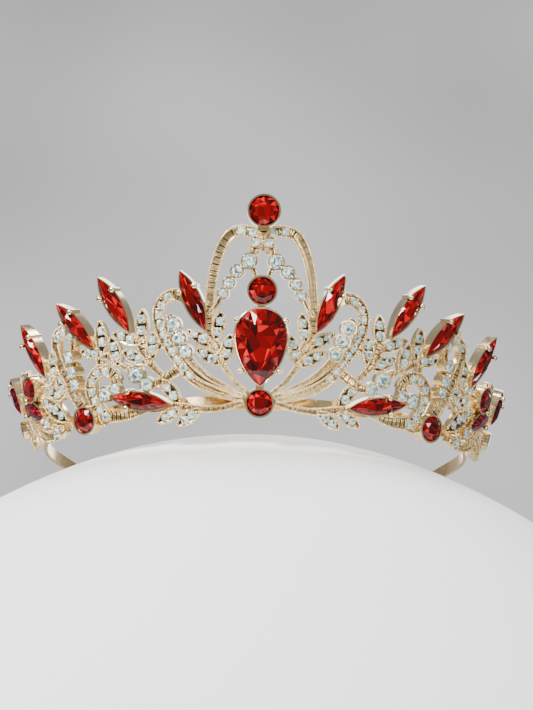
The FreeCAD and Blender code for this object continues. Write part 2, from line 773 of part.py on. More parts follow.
def end_pattern():
    """Small hook scroll, its tall chain, leaves, the stone column and the end crescent."""
    return {
        "ribs": [
            ([(42.7, 19.6), (43.4, 22.3), (45.6, 23.5), (47.5, 22.0), (47.9, 18.8), (47.4, 15.2),
              (46.4, 11.6), (44.9, 8.2), (43.2, 4.6)], 1.6, 2.6),
            ([(42.8, 20.2), (43.5, 17.0), (43.5, 13.6), (43.4, 10.8), (44.6, 7.4)], 1.2, 1.2),
            ([(47.4, 14.2), (50.0, 14.4), (52.6, 13.4), (55.8, 13.6)], 1.4, 1.6),
            ([(47.2, 11.0), (49.2, 9.4), (52.4, 8.6), (56.6, 9.4)], 1.4, 2.2),
            ([(56.6, 9.4), (61.0, 10.6), (64.4, 12.0)], 1.6, 1.6),
            ([(60.6, 17.2), (63.4, 17.6), (64.6, 14.6), (64.6, 11.2), (65.6, 8.0), (67.4, 4.8),
              (69.2, 2.4)], 1.4, 2.0),
            ([(64.6, 14.6), (67.4, 13.0), (70.2, 12.2)], 1.4, 1.4),
            ([(66.6, 7.0), (69.6, 7.8), (72.4, 7.8)], 1.4, 1.6),
            ([(50.6, 1.6), (54.4, 1.0), (59.0, 2.0), (62.6, 4.4), (65.4, 8.0)], 1.4, 3.0),
            ([(62.0, 3.6), (66.0, 2.6), (69.4, 2.4)], 1.6, 2.0),
        ],
        "leaves": [
            ((50.8, 13.8), (48.6, 20.2), LEAF),
            ((47.8, 9.0), (49.2, 14.8), LEAF),
            ((50.9, 12.8), (55.6, 15.9), LEAF),
            ((49.2, 8.2), (53.8, 12.5), LEAF),
            ((49.0, 3.2), (56.9, 10.4), size("big_leaf_width")),
        ],
        "pads": [
            END_SPOT + (cup_radius("end_stone_diameter"),),
            BACK_SPOT + (cup_radius("back_stone_diameter"),),
        ],
        "chatons": [
            (43.5, 17.0, 2.9, TALL),
            (43.5, 13.6, 2.8, TALL),
            (43.2, 10.75, 2.6, TALL),
            (53.4, 1.55, 2.8, RISE),
            (56.3, 4.5, 2.8, RISE),
            (68.75, 2.8, 2.4, RISE),
        ],
        "pave": [
            (43.4, 21.7, 1.5), (45.2, 23.3, 1.6), (47.1, 22.4, 1.6),
            (49.5, 17.6, 1.7), (50.2, 15.2, 1.7), (48.5, 12.9, 1.6), (48.5, 10.7, 1.6),
            (52.4, 13.9, 1.6), (54.1, 14.9, 1.5), (50.9, 9.8, 1.6), (52.5, 11.3, 1.6),
            (51.0, 5.1, 1.7), (52.5, 6.7, 1.8), (54.2, 7.6, 1.8), (55.3, 9.2, 1.5),
            (63.3, 17.0, 1.6), (64.5, 14.8, 1.6), (64.5, 12.6, 1.6), (64.8, 10.4, 1.6),
            (65.8, 8.0, 1.6), (67.0, 5.6, 1.6),
        ],
        "pegs": [(50.6, 4.6), (63.2, 4.6)],
    }


PATTERNS = {
    "centre": centre_pattern(),
    "wing": wing_pattern(),
    "side": side_pattern(),
    "end": end_pattern(),
}
MIDDLES = {"centre": (0, 24), "wing": (17, 13), "side": (35, 10), "end": (56, 10)}
REACHES = {"centre": (-22, 22), "wing": (-2, 38), "side": (18, 52), "end": (34, 82)}


# ---------------------------------------------------------------- headband

def band_drop(angle):
    """How far the band has bent down at a plan angle: nothing in front, all at the ends."""
    start = math.radians(size("band_bend_angle"))
    end = math.radians(size("band_end_angle"))
    share = min(max((abs(angle) - start) / (end - start), 0), 1)
    return size("band_end_drop") * share * share * (3 - 2 * share)


def band_section(angle):
    normal = plan_normal(angle)
    middle = plan_point(angle) - normal * size("band_inset")
    middle += V(0, 0, size("band_level") - band_drop(angle))
    out = normal * (size("band_thickness") / 2)
    rise = V(0, 0, size("band_height") / 2)
    corners = [middle - out - rise, middle + out - rise, middle + out + rise, middle - out + rise]
    return Part.makePolygon(corners + [corners[0]])


def end_loop(sign):
    """The flat eye at one end of the band, for a hairpin."""
    angle = sign * math.radians(size("band_end_angle"))
    normal = plan_normal(angle)
    middle = plan_point(angle) - normal * size("band_inset")
    middle += V(0, 0, size("band_level") - size("band_end_drop"))
    start = middle - normal * (size("band_thickness") / 2)
    outer = Part.makeCylinder(size("loop_outer_radius"), size("band_thickness"), start, normal)
    bore = Part.makeCylinder(size("loop_bore_radius"), 3 * size("band_thickness"),
                             start - normal * size("band_thickness"), normal)
    return outer, bore


def headband():
    """Flat springy strip, open at the back, with an eye at each end."""
    last = math.radians(size("band_end_angle"))
    stations = 36
    strip = Part.makeLoft(
        [band_section(last * (2 * i / stations - 1)) for i in range(stations + 1)], True, False)
    loops = [end_loop(sign) for sign in (-1, 1)]
    shape = strip.fuse([outer for outer, bore in loops])
    shape = shape.cut([bore for outer, bore in loops])
    return add_shape("headband", shape)


# ---------------------------------------------------------------- settings

def marquise_prongs(length, width):
    side = f"{PRONG_SIDE} * {width} + Sizes.setting_wall"
    high = f"{PRONG_HIGH} * {length}"
    return [(side, high), (f"-({side})", high)]


def pear_prongs():
    wide = f"{PRONG_SIDE} * Sizes.pear_width + Sizes.setting_wall"
    narrow = f"{LOW_PRONG_SIDE} * Sizes.pear_width + Sizes.setting_wall"
    high = f"{PEAR_PRONG_HIGH} * Sizes.pear_length"
    low = f"{PRONG_HIGH} * Sizes.pear_length"
    return [(wide, high), (f"-({wide})", high), (narrow, f"-({low})"), (f"-({narrow})", f"-({low})")]


def boat_seat(outline_width, outline_length, place):
    """The space of a marquise setting with its seat gap, to cut from a casting."""
    half, side = outline_length / 2 + GAP, outline_width / 2 + GAP
    spots = [V(0, -half, 0), V(side, 0, 0), V(0, half, 0), V(-side, 0, 0)]
    right = Part.Arc(spots[0], spots[1], spots[2]).toShape()
    left = Part.Arc(spots[2], spots[3], spots[0]).toShape()
    shape = Part.Face(Part.Wire([right, left])).extrude(V(0, 0, 3 * THICKNESS))
    shape.translate(V(0, 0, -THICKNESS / 2 - GAP))
    shape.Placement = place.multiply(shape.Placement)
    return shape


# ---------------------------------------------------------------- the parts of each area

def stone_and_cup(name, alias, seat):
    diameter = f"Sizes.{alias}"
    round_stone(f"{name}_stone", diameter, seat)
    round_cup(f"{name}_cup", diameter, seat)


def marquise_pair(label, length_alias, ends):
    """A marquise setting and its stone, pointing from the first end to the second."""
    length, width = f"Sizes.{length_alias}", "Sizes.marquise_width"
    place = pointing(*ends)
    prongs = marquise_prongs(length, width)
    setting = boat_setting(f"{label}_setting", lens, length, width, place, prongs)
    stone = loft_stone(f"{label}_stone", lens, length, width, place)
    return setting, stone


def marquise_seat(length_alias, ends):
    wall = 2 * size("setting_wall")
    return boat_seat(size("marquise_width") + wall, size(length_alias) + wall, pointing(*ends))


def pear_seat():
    """The space of the pear setting with its seat gap."""
    width = size("pear_width") + 2 * size("setting_wall") + 2 * GAP
    length = size("pear_length") + 2 * size("setting_wall") + 2 * GAP
    radius = width / 2
    head = length / 2 - radius
    round_part = Part.makeCylinder(radius, 3 * THICKNESS, V(0, head, 0))
    lean = math.asin(radius / (head + length / 2))
    right = V(radius * math.cos(lean), head - radius * math.sin(lean), 0)
    left = V(-right.x, right.y, 0)
    flank = Part.Face(Part.makePolygon([V(0, -length / 2, 0), right, V(0, head, 0), left,
                                        V(0, -length / 2, 0)]))
    shape = round_part.fuse(flank.extrude(V(0, 0, 3 * THICKNESS)))
    shape.translate(V(0, 0, -THICKNESS / 2 - GAP))
    shape.Placement = upright(0, PEAR_UP).multiply(shape.Placement)
    return shape


def back_bar():
    """The hidden bar behind the centre line that carries the pear setting."""
    work = Sheet(0, PEAR_UP)
    depth = size("back_bar_depth")
    shell = shell_block(-6, 6, -THICKNESS / 2 - depth, -THICKNESS / 2 + depth / 2)
    bar = work.rib([(0, BOTTOM_UP + 2.6), (0, PEAR_UP), (0, MIDDLE_UP - 2.6)],
                   size("back_bar_width"), size("back_bar_width"))
    return work.plate([bar, work.disc(0, PEAR_UP, size("back_bar_width"))], shell)


def mirror_spot(spot, sign):
    return (sign * spot[0], spot[1])


def build_centre():
    top, middle = upright(0, TOP_UP), upright(0, MIDDLE_UP)
    bottom = upright(0, BOTTOM_UP)
    stone_and_cup("top", "top_stone_diameter", top)
    stone_and_cup("middle", "middle_stone_diameter", middle)
    stone_and_cup("bottom", "bottom_stone_diameter", bottom)
    pear = upright(0, PEAR_UP)
    length, width = "Sizes.pear_length", "Sizes.pear_width"
    add_node("pear_setting", boat_setting("pear_setting", drop_outline, length, width, pear, pear_prongs()))
    add_node("pear_stone", loft_stone("pear_stone", drop_outline, length, width, pear))
    seats = [
        tapered_seat(size("top_stone_diameter"), top),
        tapered_seat(size("middle_stone_diameter"), middle),
        tapered_seat(size("bottom_stone_diameter"), bottom),
        pear_seat(),
    ]
    for sign in (1, -1):
        ends = [mirror_spot(end, sign) for end in MARQUISES[0]]
        seats.append(marquise_seat("marquise_length", ends))
    return casting("centre_frame", MIDDLES["centre"], REACHES["centre"], PATTERNS["centre"],
                   (1, -1), seats, [back_bar()])


def build_side(name, sign, centre):
    """All the parts of one half: three castings, their settings and their stones."""
    round_spots = [
        ("side", "side_stone_diameter", SIDE_SPOT),
        ("end", "end_stone_diameter", END_SPOT),
        ("back", "back_stone_diameter", BACK_SPOT),
    ]
    seats = []
    for spot_name, alias, spot in round_spots:
        place = upright(*mirror_spot(spot, sign))
        stone_and_cup(f"{name}_{spot_name}", alias, place)
        seats.append(tapered_seat(size(alias), place))
    boats = [(f"marquise_{i}", ends) for i, ends in enumerate(MARQUISES, start=1)]
    boats.append(("low_marquise", LOW_MARQUISE))
    for boat_name, ends in boats:
        turned_ends = [mirror_spot(end, sign) for end in ends]
        setting, stone = marquise_pair(f"{name}_{boat_name}", "marquise_length", turned_ends)
        add_node(f"{name}_{boat_name}_setting", setting)
        add_node(f"{name}_{boat_name}_stone", stone)
        seats.append(marquise_seat("marquise_length", turned_ends))
    short_settings, short_stones = [], []
    for index, ends in enumerate((END_MARQUISE, OUTER_MARQUISE), start=1):
        turned_ends = [mirror_spot(end, sign) for end in ends]
        setting, stone = marquise_pair(f"{name}_short_marquise_{index}", "short_marquise_length", turned_ends)
        short_settings.append(setting)
        short_stones.append(stone)
        seats.append(marquise_seat("short_marquise_length", turned_ends))
    add_group(f"{name}_short_marquise_settings", short_settings)
    add_group(f"{name}_short_marquise_stones", short_stones)
    before = centre
    for area in ("wing", "side", "end"):
        middle = (sign * MIDDLES[area][0], MIDDLES[area][1])
        reach = tuple(sign * along for along in REACHES[area])
        before = casting(f"{name}_{area}_frame", middle, reach, PATTERNS[area], (sign,),
                         seats + [before.Shape], [])


def check_document():
    """Stop on any object that failed or any part whose shape is empty or broken."""
    for obj in doc.Objects:
        if "Invalid" in obj.State or "Error" in obj.State:
            raise RuntimeError(f"{obj.Name} failed: {obj.State}")
    for label, obj in nodes.items():
        if obj.Shape.isNull() or not obj.Shape.isValid():
            raise RuntimeError(f"{label} has a bad shape")


def stand_on_origin():
    """Move every part so that the origin lies under the middle of the whole box."""
    box = FreeCAD.BoundBox()
    for obj in nodes.values():
        box.add(obj.Shape.optimalBoundingBox(True, False))
    shift = FreeCAD.Placement(V(-box.Center.x, -box.Center.y, -box.ZMin), FreeCAD.Rotation())
    for obj in nodes.values():
        obj.Placement = shift.multiply(obj.Placement)
    doc.recompute()


def export():
    os.makedirs("parts", exist_ok=True)
    for label, obj in nodes.items():
        obj.Shape.exportStep(f"parts/{label}.step")


headband()
centre_frame = build_centre()
chaton_stones("centre_crystals", ["centre"], (1, -1))
pave_stones("centre_pave", ["centre"], (1, -1))
for name, sign in (("left", -1), ("right", 1)):
    build_side(name, sign, centre_frame)
    chaton_stones(f"{name}_crystals", ["wing", "side", "end"], (sign,))
    pave_stones(f"{name}_pave", ["wing", "side", "end"], (sign,))
doc.recompute()
stand_on_origin()
check_document()
export()
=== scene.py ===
import math

import bpy
import numpy as np
from mathutils import Matrix, Vector


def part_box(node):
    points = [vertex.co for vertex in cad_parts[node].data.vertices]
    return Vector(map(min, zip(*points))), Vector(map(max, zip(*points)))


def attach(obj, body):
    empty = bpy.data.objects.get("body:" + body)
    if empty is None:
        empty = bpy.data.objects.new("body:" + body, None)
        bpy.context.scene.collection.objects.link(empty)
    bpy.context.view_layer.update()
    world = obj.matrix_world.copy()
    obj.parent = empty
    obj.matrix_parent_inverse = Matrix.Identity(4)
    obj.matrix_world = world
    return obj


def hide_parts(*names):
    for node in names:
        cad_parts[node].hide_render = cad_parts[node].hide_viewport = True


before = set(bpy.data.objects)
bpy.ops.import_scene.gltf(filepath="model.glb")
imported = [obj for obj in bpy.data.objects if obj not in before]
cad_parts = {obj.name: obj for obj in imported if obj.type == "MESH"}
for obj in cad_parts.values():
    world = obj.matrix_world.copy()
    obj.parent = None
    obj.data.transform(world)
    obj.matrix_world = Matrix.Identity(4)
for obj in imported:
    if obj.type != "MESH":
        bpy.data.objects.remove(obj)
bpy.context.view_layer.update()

# Tiara with red stones. Lengths are millimetres until a mesh is made. A place on the flared
# surface is (along, up): the distance along the base curve from the front, and the height.

MM = 0.001
HALF_WIDTH = 54.0
HALF_DEPTH = 41.0
FLARE = math.radians(19.0)
BAND_LEVEL = 4.0
BAND_HEIGHT = 3.0
BAND_INSET = 1.2
BAND_THICKNESS = 0.9
CUP_WALL = 0.3
CUP_SIDES = 24
CUP_CLAW = 0.34
PAVE_CLAW = 0.24
CLAW_REACH = 1.15
RISE = 1.5
TALL = 2.6
GIRDLE = 1.9
GIRDLE_SINK = 0.35
PAVE_LEVEL = 0.72
PAVE_LIFT = 0.18
PAVE_DEPTH = 0.3
CHATON_LIFT = 0.12
LEAF = 2.9
BIG_LEAF = 4.2
RIB = 0.9
ARCH = 1.5
SCROLL = 2.4
TOP_UP = 45.7
MIDDLE_UP = 28.07
PEAR_UP = 15.64
BOTTOM_UP = 3.35
SIDE_SPOT = (42.5, 2.4)
END_SPOT = (59.0, 13.5)
BACK_SPOT = (72.6, 7.6)
TOP_STONE = 7.0
MIDDLE_STONE = 6.3
ROUND_STONE = 6.0
BACK_STONE = 4.0
MARQUISES = [
    ((11.7, 19.6), (16.4, 32.4)),
    ((28.2, 20.6), (33.7, 33.0)),
    ((37.3, 18.2), (44.5, 29.2)),
    ((52.4, 15.2), (56.4, 27.4)),
]
LOW_MARQUISE = ((20.4, 3.4), (34.6, 6.3))
SHORT_MARQUISES = [((56.6, 6.1), (65.0, 11.5)), ((69.3, 10.6), (71.3, 20.2))]
BEAD = 0.3
BEAD_STEP = 0.6
BEAD_LEVEL = 0.98
BEAD_INSET = 0.2
LEAF_BEAD_INSET = 0.16
LEAST_REACH = 0.02
BAR_LEVEL = 0.8
BAR_STEP = 0.56
BAR_WIDTH = 0.38
BAR_RISE = 0.2
BAR_INSET = 0.25
BAR_SHORTEST = 0.15
WIDER = 1.3
LADDER_WIDTH = 1.25
LINE_STEP = 0.22
CLEARANCE = 0.35
STONE_GAP = 0.02
PEAR_LENGTH = 18.0
PEAR_WIDTH = 12.0
MARQUISE_LENGTH = 15.0
MARQUISE_WIDTH = 4.0
SHORT_MARQUISE_LENGTH = 10.5
SETTING_WALL = 0.4

low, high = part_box("headband")
SHIFT = np.array([
    0.0,
    low[1] / MM - (BAND_INSET - BAND_THICKNESS / 2),
    high[2] / MM - (BAND_LEVEL + BAND_HEIGHT / 2),
])


# ---------------------------------------------------------------- the flared surface

def distances(points):
    """How far along a line each of its points lies."""
    return np.concatenate([[0.0], np.cumsum(np.linalg.norm(np.diff(points, axis=0), axis=1))])


ANGLES = np.linspace(0.0, math.pi, 2001)
CURVE = np.stack([HALF_WIDTH * np.sin(ANGLES), HALF_DEPTH * (1 - np.cos(ANGLES))], axis=1)
ARC = distances(CURVE)


def axes_at(along):
    """Plan angle, and the unit directions along the curve, up the slope and out of the surface."""
    along = np.asarray(along, float)
    angle = np.sign(along) * np.interp(np.abs(along), ARC, ANGLES)
    flat = np.stack([np.sin(angle) / HALF_WIDTH, -np.cos(angle) / HALF_DEPTH, 0 * angle], axis=-1)
    flat /= np.linalg.norm(flat, axis=-1, keepdims=True)
    tangent = np.stack([-flat[..., 1], flat[..., 0], 0 * angle], axis=-1)
    lift = np.array([0.0, 0.0, 1.0])
    slope = flat * math.sin(FLARE) + lift * math.cos(FLARE)
    outward = flat * math.cos(FLARE) - lift * math.sin(FLARE)
    return angle, flat, tangent, slope, outward


def on_surface(along, up, out=0.0):
    """Points of the surface, moved out along its normal."""
    angle, flat, _, _, outward = axes_at(along)
    up = np.asarray(up, float)[..., None]
    foot = np.stack([HALF_WIDTH * np.sin(angle), HALF_DEPTH * (1 - np.cos(angle)), 0 * angle], axis=-1)
    lifted = foot + flat * up * math.tan(FLARE) + up * np.array([0.0, 0.0, 1.0])
    return lifted + outward * np.asarray(out, float)[..., None]


def stretch(along, up):
    """How much longer a step along the curve is at a height than at the base."""
    angle = axes_at(along)[0]
    bend = (HALF_WIDTH * np.cos(angle)) ** 2 + (HALF_DEPTH * np.sin(angle)) ** 2
    radius = bend ** 1.5 / (HALF_WIDTH * HALF_DEPTH)
    return 1 + np.asarray(up, float) * math.tan(FLARE) / radius


def seat(along, up, out=0.0):
    """Origin and the three axes of an upright seat."""
    _, _, tangent, slope, outward = axes_at(along)
    return on_surface(along, up, out), tangent, slope, outward


def pointing(first, second, out=0.0):
    """Origin and axes of a seat half way between two places, with its Y from first to second."""
    start, end = on_surface(*first), on_surface(*second)
    y_axis = (end - start) / np.linalg.norm(end - start)
    outward = axes_at((first[0] + second[0]) / 2)[4]
    x_axis = np.cross(y_axis, outward)
    x_axis /= np.linalg.norm(x_axis)
    z_axis = np.cross(x_axis, y_axis)
    return (start + end) / 2 + outward * out, x_axis, y_axis, z_axis


def smooth_line(points):
    """Evenly spaced points of a smooth line through the given ones."""
    spots = np.asarray(points, float)
    spots = np.vstack([2 * spots[0] - spots[1], spots, 2 * spots[-1] - spots[-2]])
    fine = []
    for before, start, end, after in zip(spots, spots[1:], spots[2:], spots[3:]):
        for share in np.linspace(0, 1, 24, endpoint=False):
            square, cube = share * share, share ** 3
            fine.append(0.5 * ((2 * start) + (end - before) * share
                               + (2 * before - 5 * start + 4 * end - after) * square
                               + (3 * start - before - 3 * end + after) * cube))
    fine.append(spots[-2])
    fine = np.array(fine)
    lengths = distances(fine)
    count = max(int(lengths[-1] / LINE_STEP), 4)
    even = np.linspace(0, lengths[-1], count + 1)
    return np.stack([np.interp(even, lengths, fine[:, part]) for part in (0, 1)], axis=1)


def side_steps(line):
    """For each point of a line, the (along, up) step that moves one millimetre to its left."""
    grow = stretch(line[:, 0], line[:, 1])
    move = np.gradient(line, axis=0)
    true = np.stack([move[:, 0] * grow, move[:, 1] / math.cos(FLARE)], axis=1)
    true /= np.linalg.norm(true, axis=1, keepdims=True)
    return np.stack([-true[:, 1] / grow, true[:, 0] * math.cos(FLARE)], axis=1)


# ---------------------------------------------------------------- mesh gathering

class Mesh:
    """Vertices and faces that become one object, with a painted shade value for each vertex."""

    def __init__(self):
        self.points, self.faces, self.slots, self.recess = [], [], [], []
        self.count = 0

    def add(self, points, faces, slot=0, recess=0.0):
        points = np.asarray(points, float)
        self.points.append(points)
        self.faces += [tuple(self.count + i for i in face) for face in faces]
        self.slots += [slot] * len(faces) if isinstance(slot, int) else list(slot)
        self.recess.append(np.broadcast_to(np.asarray(recess, float), len(points)))
        self.count += len(points)

    def build(self, name, materials, smooth=True, replaces=()):
        data = bpy.data.meshes.new(name)
        points = (np.vstack(self.points) + SHIFT) * MM
        data.from_pydata(points.tolist(), [], self.faces)
        for material in materials:
            data.materials.append(material)
        data.polygons.foreach_set("material_index", np.array(self.slots, np.int32))
        # The painted shade amount of each vertex, read by the metal to darken its colour.
        layer = data.attributes.new("recess", "FLOAT", "POINT")
        layer.data.foreach_set("value", np.concatenate(self.recess).astype(np.float32))
        data.polygons.foreach_set("use_smooth", np.full(len(self.faces), smooth))
        data.update()
        piece = bpy.data.objects.new(name, data)
        bpy.context.scene.collection.objects.link(piece)
        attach(piece, "root")
        if replaces:
            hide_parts(*replaces)
        return piece


def ring_faces(rings, size):
    """Quads between rings of equal size, and a cap at each end."""
    faces = []
    for ring in range(rings - 1):
        for i in range(size):
            j = (i + 1) % size
            start = ring * size
            faces.append((start + i, start + j, start + size + j, start + size + i))
    faces.append(tuple(range(size - 1, -1, -1)))
    faces.append(tuple((rings - 1) * size + i for i in range(size)))
    return faces


DOME_SIDES = 8
DOME_RINGS = [math.radians(a) for a in (32, 66, 100)]


def dome_template():
    """A small round bead of unit size: a top point, three rings and a flat base."""
    points = [(0.0, 0.0, 1.0)]
    for polar in DOME_RINGS:
        for i in range(DOME_SIDES):
            turn = 2 * math.pi * i / DOME_SIDES
            flat = math.sin(polar)
            points.append((flat * math.cos(turn), flat * math.sin(turn), math.cos(polar)))
    faces = [(0, 1 + i, 1 + (i + 1) % DOME_SIDES) for i in range(DOME_SIDES)]
    for ring in range(len(DOME_RINGS) - 1):
        for i in range(DOME_SIDES):
            j = (i + 1) % DOME_SIDES
            start = 1 + ring * DOME_SIDES
            faces.append((start + i, start + DOME_SIDES + i, start + DOME_SIDES + j, start + j))
    last = 1 + (len(DOME_RINGS) - 1) * DOME_SIDES
    faces.append(tuple(last + i for i in range(DOME_SIDES - 1, -1, -1)))
    return np.array(points), faces


DOME_POINTS, DOME_FACES = dome_template()


def add_bead(mesh, origin, x_axis, y_axis, z_axis, sizes):
    """One bead with its own half sizes along the three axes."""
    local = DOME_POINTS * np.asarray(sizes)
    mesh.add(origin + local @ np.stack([x_axis, y_axis, z_axis]), DOME_FACES)


def beads_along(mesh, line):
    """A row of beads, the grained edge of the castings."""
    lengths = distances(on_surface(line[:, 0], line[:, 1], BEAD_LEVEL))
    count = max(int(round(lengths[-1] / BEAD_STEP)), 1)
    for distance in np.linspace(0, lengths[-1], count + 1):
        along = np.interp(distance, lengths, line[:, 0])
        up = np.interp(distance, lengths, line[:, 1])
        origin, *axes = seat(along, up, BEAD_LEVEL)
        add_bead(mesh, origin, *axes, (BEAD, BEAD, BEAD))


# ---------------------------------------------------------------- relief strips, leaves and cups

# Cross-sections of the relief on a plate, from its left edge over the front to its right edge.
# Each point is (share of the half width, height out of the surface, painted shade: how dark the metal's
# colour is painted there, most in the valleys).
CHANNEL = [(-1.02, 0.5, 0.1), (-1.04, 0.72, 0.1), (-0.9, 0.95, 0.0), (-0.74, 0.9, 0.1),
           (-0.62, 0.74, 0.9), (0.0, 0.72, 1.0), (0.62, 0.74, 0.9), (0.74, 0.9, 0.1),
           (0.9, 0.95, 0.0), (1.04, 0.72, 0.1), (1.02, 0.5, 0.1)]
NARROW = [(-1.02, 0.5, 0.1), (-1.04, 0.72, 0.1), (-0.85, 0.9, 0.0), (-0.45, 0.85, 0.3),
          (0.0, 0.74, 1.0), (0.45, 0.85, 0.3), (0.85, 0.9, 0.0), (1.04, 0.72, 0.1), (1.02, 0.5, 0.1)]


def strip(mesh, line, widths, section):
    """A strip of relief: the section swept along a line on the surface."""
    sides = side_steps(line)
    shares = np.array([p[0] for p in section])
    outs = np.array([p[1] for p in section])
    recess = np.array([p[2] for p in section])
    half = np.asarray(widths, float) / 2
    spots = line[:, None, :] + sides[:, None, :] * (half[:, None] * shares[None, :])[..., None]
    depth = np.broadcast_to(outs, spots.shape[:2])
    points = on_surface(spots[..., 0], spots[..., 1], depth).reshape(-1, 3)
    mesh.add(points, ring_faces(len(line), len(section)), recess=np.tile(recess, len(line)))
    return sides, half


def grained_edges(mesh, line, sides, half, inset=BEAD_INSET):
    """A row of beads along each edge of a strip."""
    for sign in (1, -1):
        beads_along(mesh, line + sides * (sign * np.maximum(half - inset, LEAST_REACH))[:, None])


def cross_bars(mesh, line, half):
    """Short bars across a strip, between its grained edges."""
    where = on_surface(line[:, 0], line[:, 1])
    lengths = distances(where)
    for distance in np.arange(BAR_STEP / 2, lengths[-1], BAR_STEP):
        index = min(np.searchsorted(lengths, distance), len(line) - 1)
        ahead, behind = min(index + 1, len(line) - 1), max(index - 1, 0)
        run = where[ahead] - where[behind]
        run /= np.linalg.norm(run)
        outward = axes_at(line[index, 0])[4]
        across = np.cross(outward, run)
        origin = where[index] + outward * BAR_LEVEL
        reach = max(half[index] - BAR_INSET, BAR_SHORTEST)
        add_bead(mesh, origin, run, across, outward, (BAR_WIDTH / 2, reach, BAR_RISE))


def leaf(mesh, base, tip, width):
    """A pointed leaf with a grained rim and a sunk floor for its crystals."""
    share = np.linspace(0, 1, 22)
    line = np.array(base) + (np.array(tip) - np.array(base)) * share[:, None]
    widths = width * np.maximum(1 - (2 * share - 1) ** 2, 0.06) ** 0.85
    sides, half = strip(mesh, line, widths, CHANNEL)
    grained_edges(mesh, line[1:-1], sides[1:-1], half[1:-1], LEAF_BEAD_INSET)


def lathe(mesh, origin, axes, profile):
    """A turned shape from (radius, height) pairs about the seat's outward axis."""
    turns = np.linspace(0, 2 * math.pi, CUP_SIDES, endpoint=False)
    points = []
    for radius, height in profile:
        for turn in turns:
            points.append((radius * math.cos(turn), radius * math.sin(turn), height))
    mesh.add(origin + np.array(points) @ np.stack(axes), ring_faces(len(profile), CUP_SIDES))


def claws(mesh, origin, axes, radius, height, size):
    """Four round claws that hold a stone, evenly spaced about its edge."""
    x_axis, y_axis, z_axis = axes
    for quarter in range(4):
        angle = math.pi / 4 + math.pi * quarter / 2
        reach = x_axis * math.cos(angle) + y_axis * math.sin(angle)
        across = np.cross(z_axis, reach)
        middle = origin + reach * radius + z_axis * height
        add_bead(mesh, middle, reach, across, z_axis, (size * CLAW_REACH, size, size))


def crystal_cup(mesh, along, up, diameter, rise):
    """Turned cup with four claws."""
    origin, *axes = seat(along, up)
    outer = diameter / 2 + CUP_WALL
    inner = diameter / 2 + STONE_GAP
    outside = [(outer * 0.5, -0.6), (outer * 0.82, -0.35), (outer * 0.93, rise * 0.45), (outer, rise - 0.12)]
    inside = [(outer - 0.08, rise), (inner, rise - 0.04), (inner, rise - 0.5), (inner * 0.4, rise - 1.2)]
    lathe(mesh, origin, axes, outside + inside)
    claws(mesh, origin, axes, inner, rise - STONE_GAP, CUP_CLAW)


# ---------------------------------------------------------------- cut stones

def round_outline(diameter):
    return lambda turn: (diameter / 2 * math.cos(turn), diameter / 2 * math.sin(turn))


def lens_outline(length, width):
    def edge(turn):
        y = math.cos(turn)
        x = (1 - y * y) * math.copysign(1, math.sin(turn))
        return width / 2 * x, length / 2 * y
    return edge


def pear_outline(length, width):
    """A half circle above and two arcs that meet in the point below."""
    radius = width / 2
    drop = length - radius
    bow = (radius * radius + drop * drop) / (2 * radius)
    middle = length / 2 - radius

    def edge(turn):
        if math.cos(turn) >= 0:
            return radius * math.sin(turn), middle + radius * math.cos(turn)
        fall = drop * (1 - math.sin(turn % math.pi)) ** 0.8
        x = math.sqrt(max(bow * bow - fall * fall, 0)) - (bow - radius)
        return math.copysign(x, math.sin(turn)), middle - fall
    return edge


def cut_stone(mesh, seat_axes, edge, width, level, sides=8, table=0.56, crown=0.15, depth=0.42):
    """A brilliant cut on any outline: table, star, kite and girdle facets, and a foiled back."""
    origin, *axes = seat_axes

    def ring(count, phase, share, height):
        turns = [2 * math.pi * (i + phase) / count for i in range(count)]
        return [(share * edge(t)[0], share * edge(t)[1], level + height) for t in turns]

    top = ring(sides, 0.0, table, crown * width)
    star = ring(sides, 0.5, (1 + table) / 2 + 0.02, crown * width * 0.6)
    rim = ring(2 * sides, 0.0, 1.0, 0.0)
    under = ring(2 * sides, 0.0, 1.0, -0.03 * width)
    back = ring(sides, 0.5, 0.42, -0.62 * depth * width)
    points = top + star + rim + under + back + [(0.0, 0.0, level - depth * width)]
    star_at, rim_at = sides, 2 * sides
    under_at, back_at = 4 * sides, 6 * sides
    tip = 7 * sides
    front = [tuple(range(sides))]
    behind = []
    for i in range(sides):
        j = (i + 1) % sides
        a, b, c = 2 * i, 2 * i + 1, (2 * i + 2) % (2 * sides)
        front.append((i, star_at + i, j))
        front.append((j, star_at + i, rim_at + c, star_at + j))
        front.append((star_at + i, rim_at + a, rim_at + b))
        front.append((star_at + i, rim_at + b, rim_at + c))
        front.append((rim_at + a, under_at + a, under_at + b, rim_at + b))
        front.append((rim_at + b, under_at + b, under_at + c, rim_at + c))
        behind.append((under_at + a, back_at + i, under_at + b))
        behind.append((under_at + b, back_at + i, under_at + c))
        behind.append((under_at + c, back_at + i, tip, back_at + j))
    slots = [0] * len(front) + [1] * len(behind)
    mesh.add(origin + np.array(points) @ np.stack(axes), front + behind, slots)


# ---------------------------------------------------------------- the four patterns

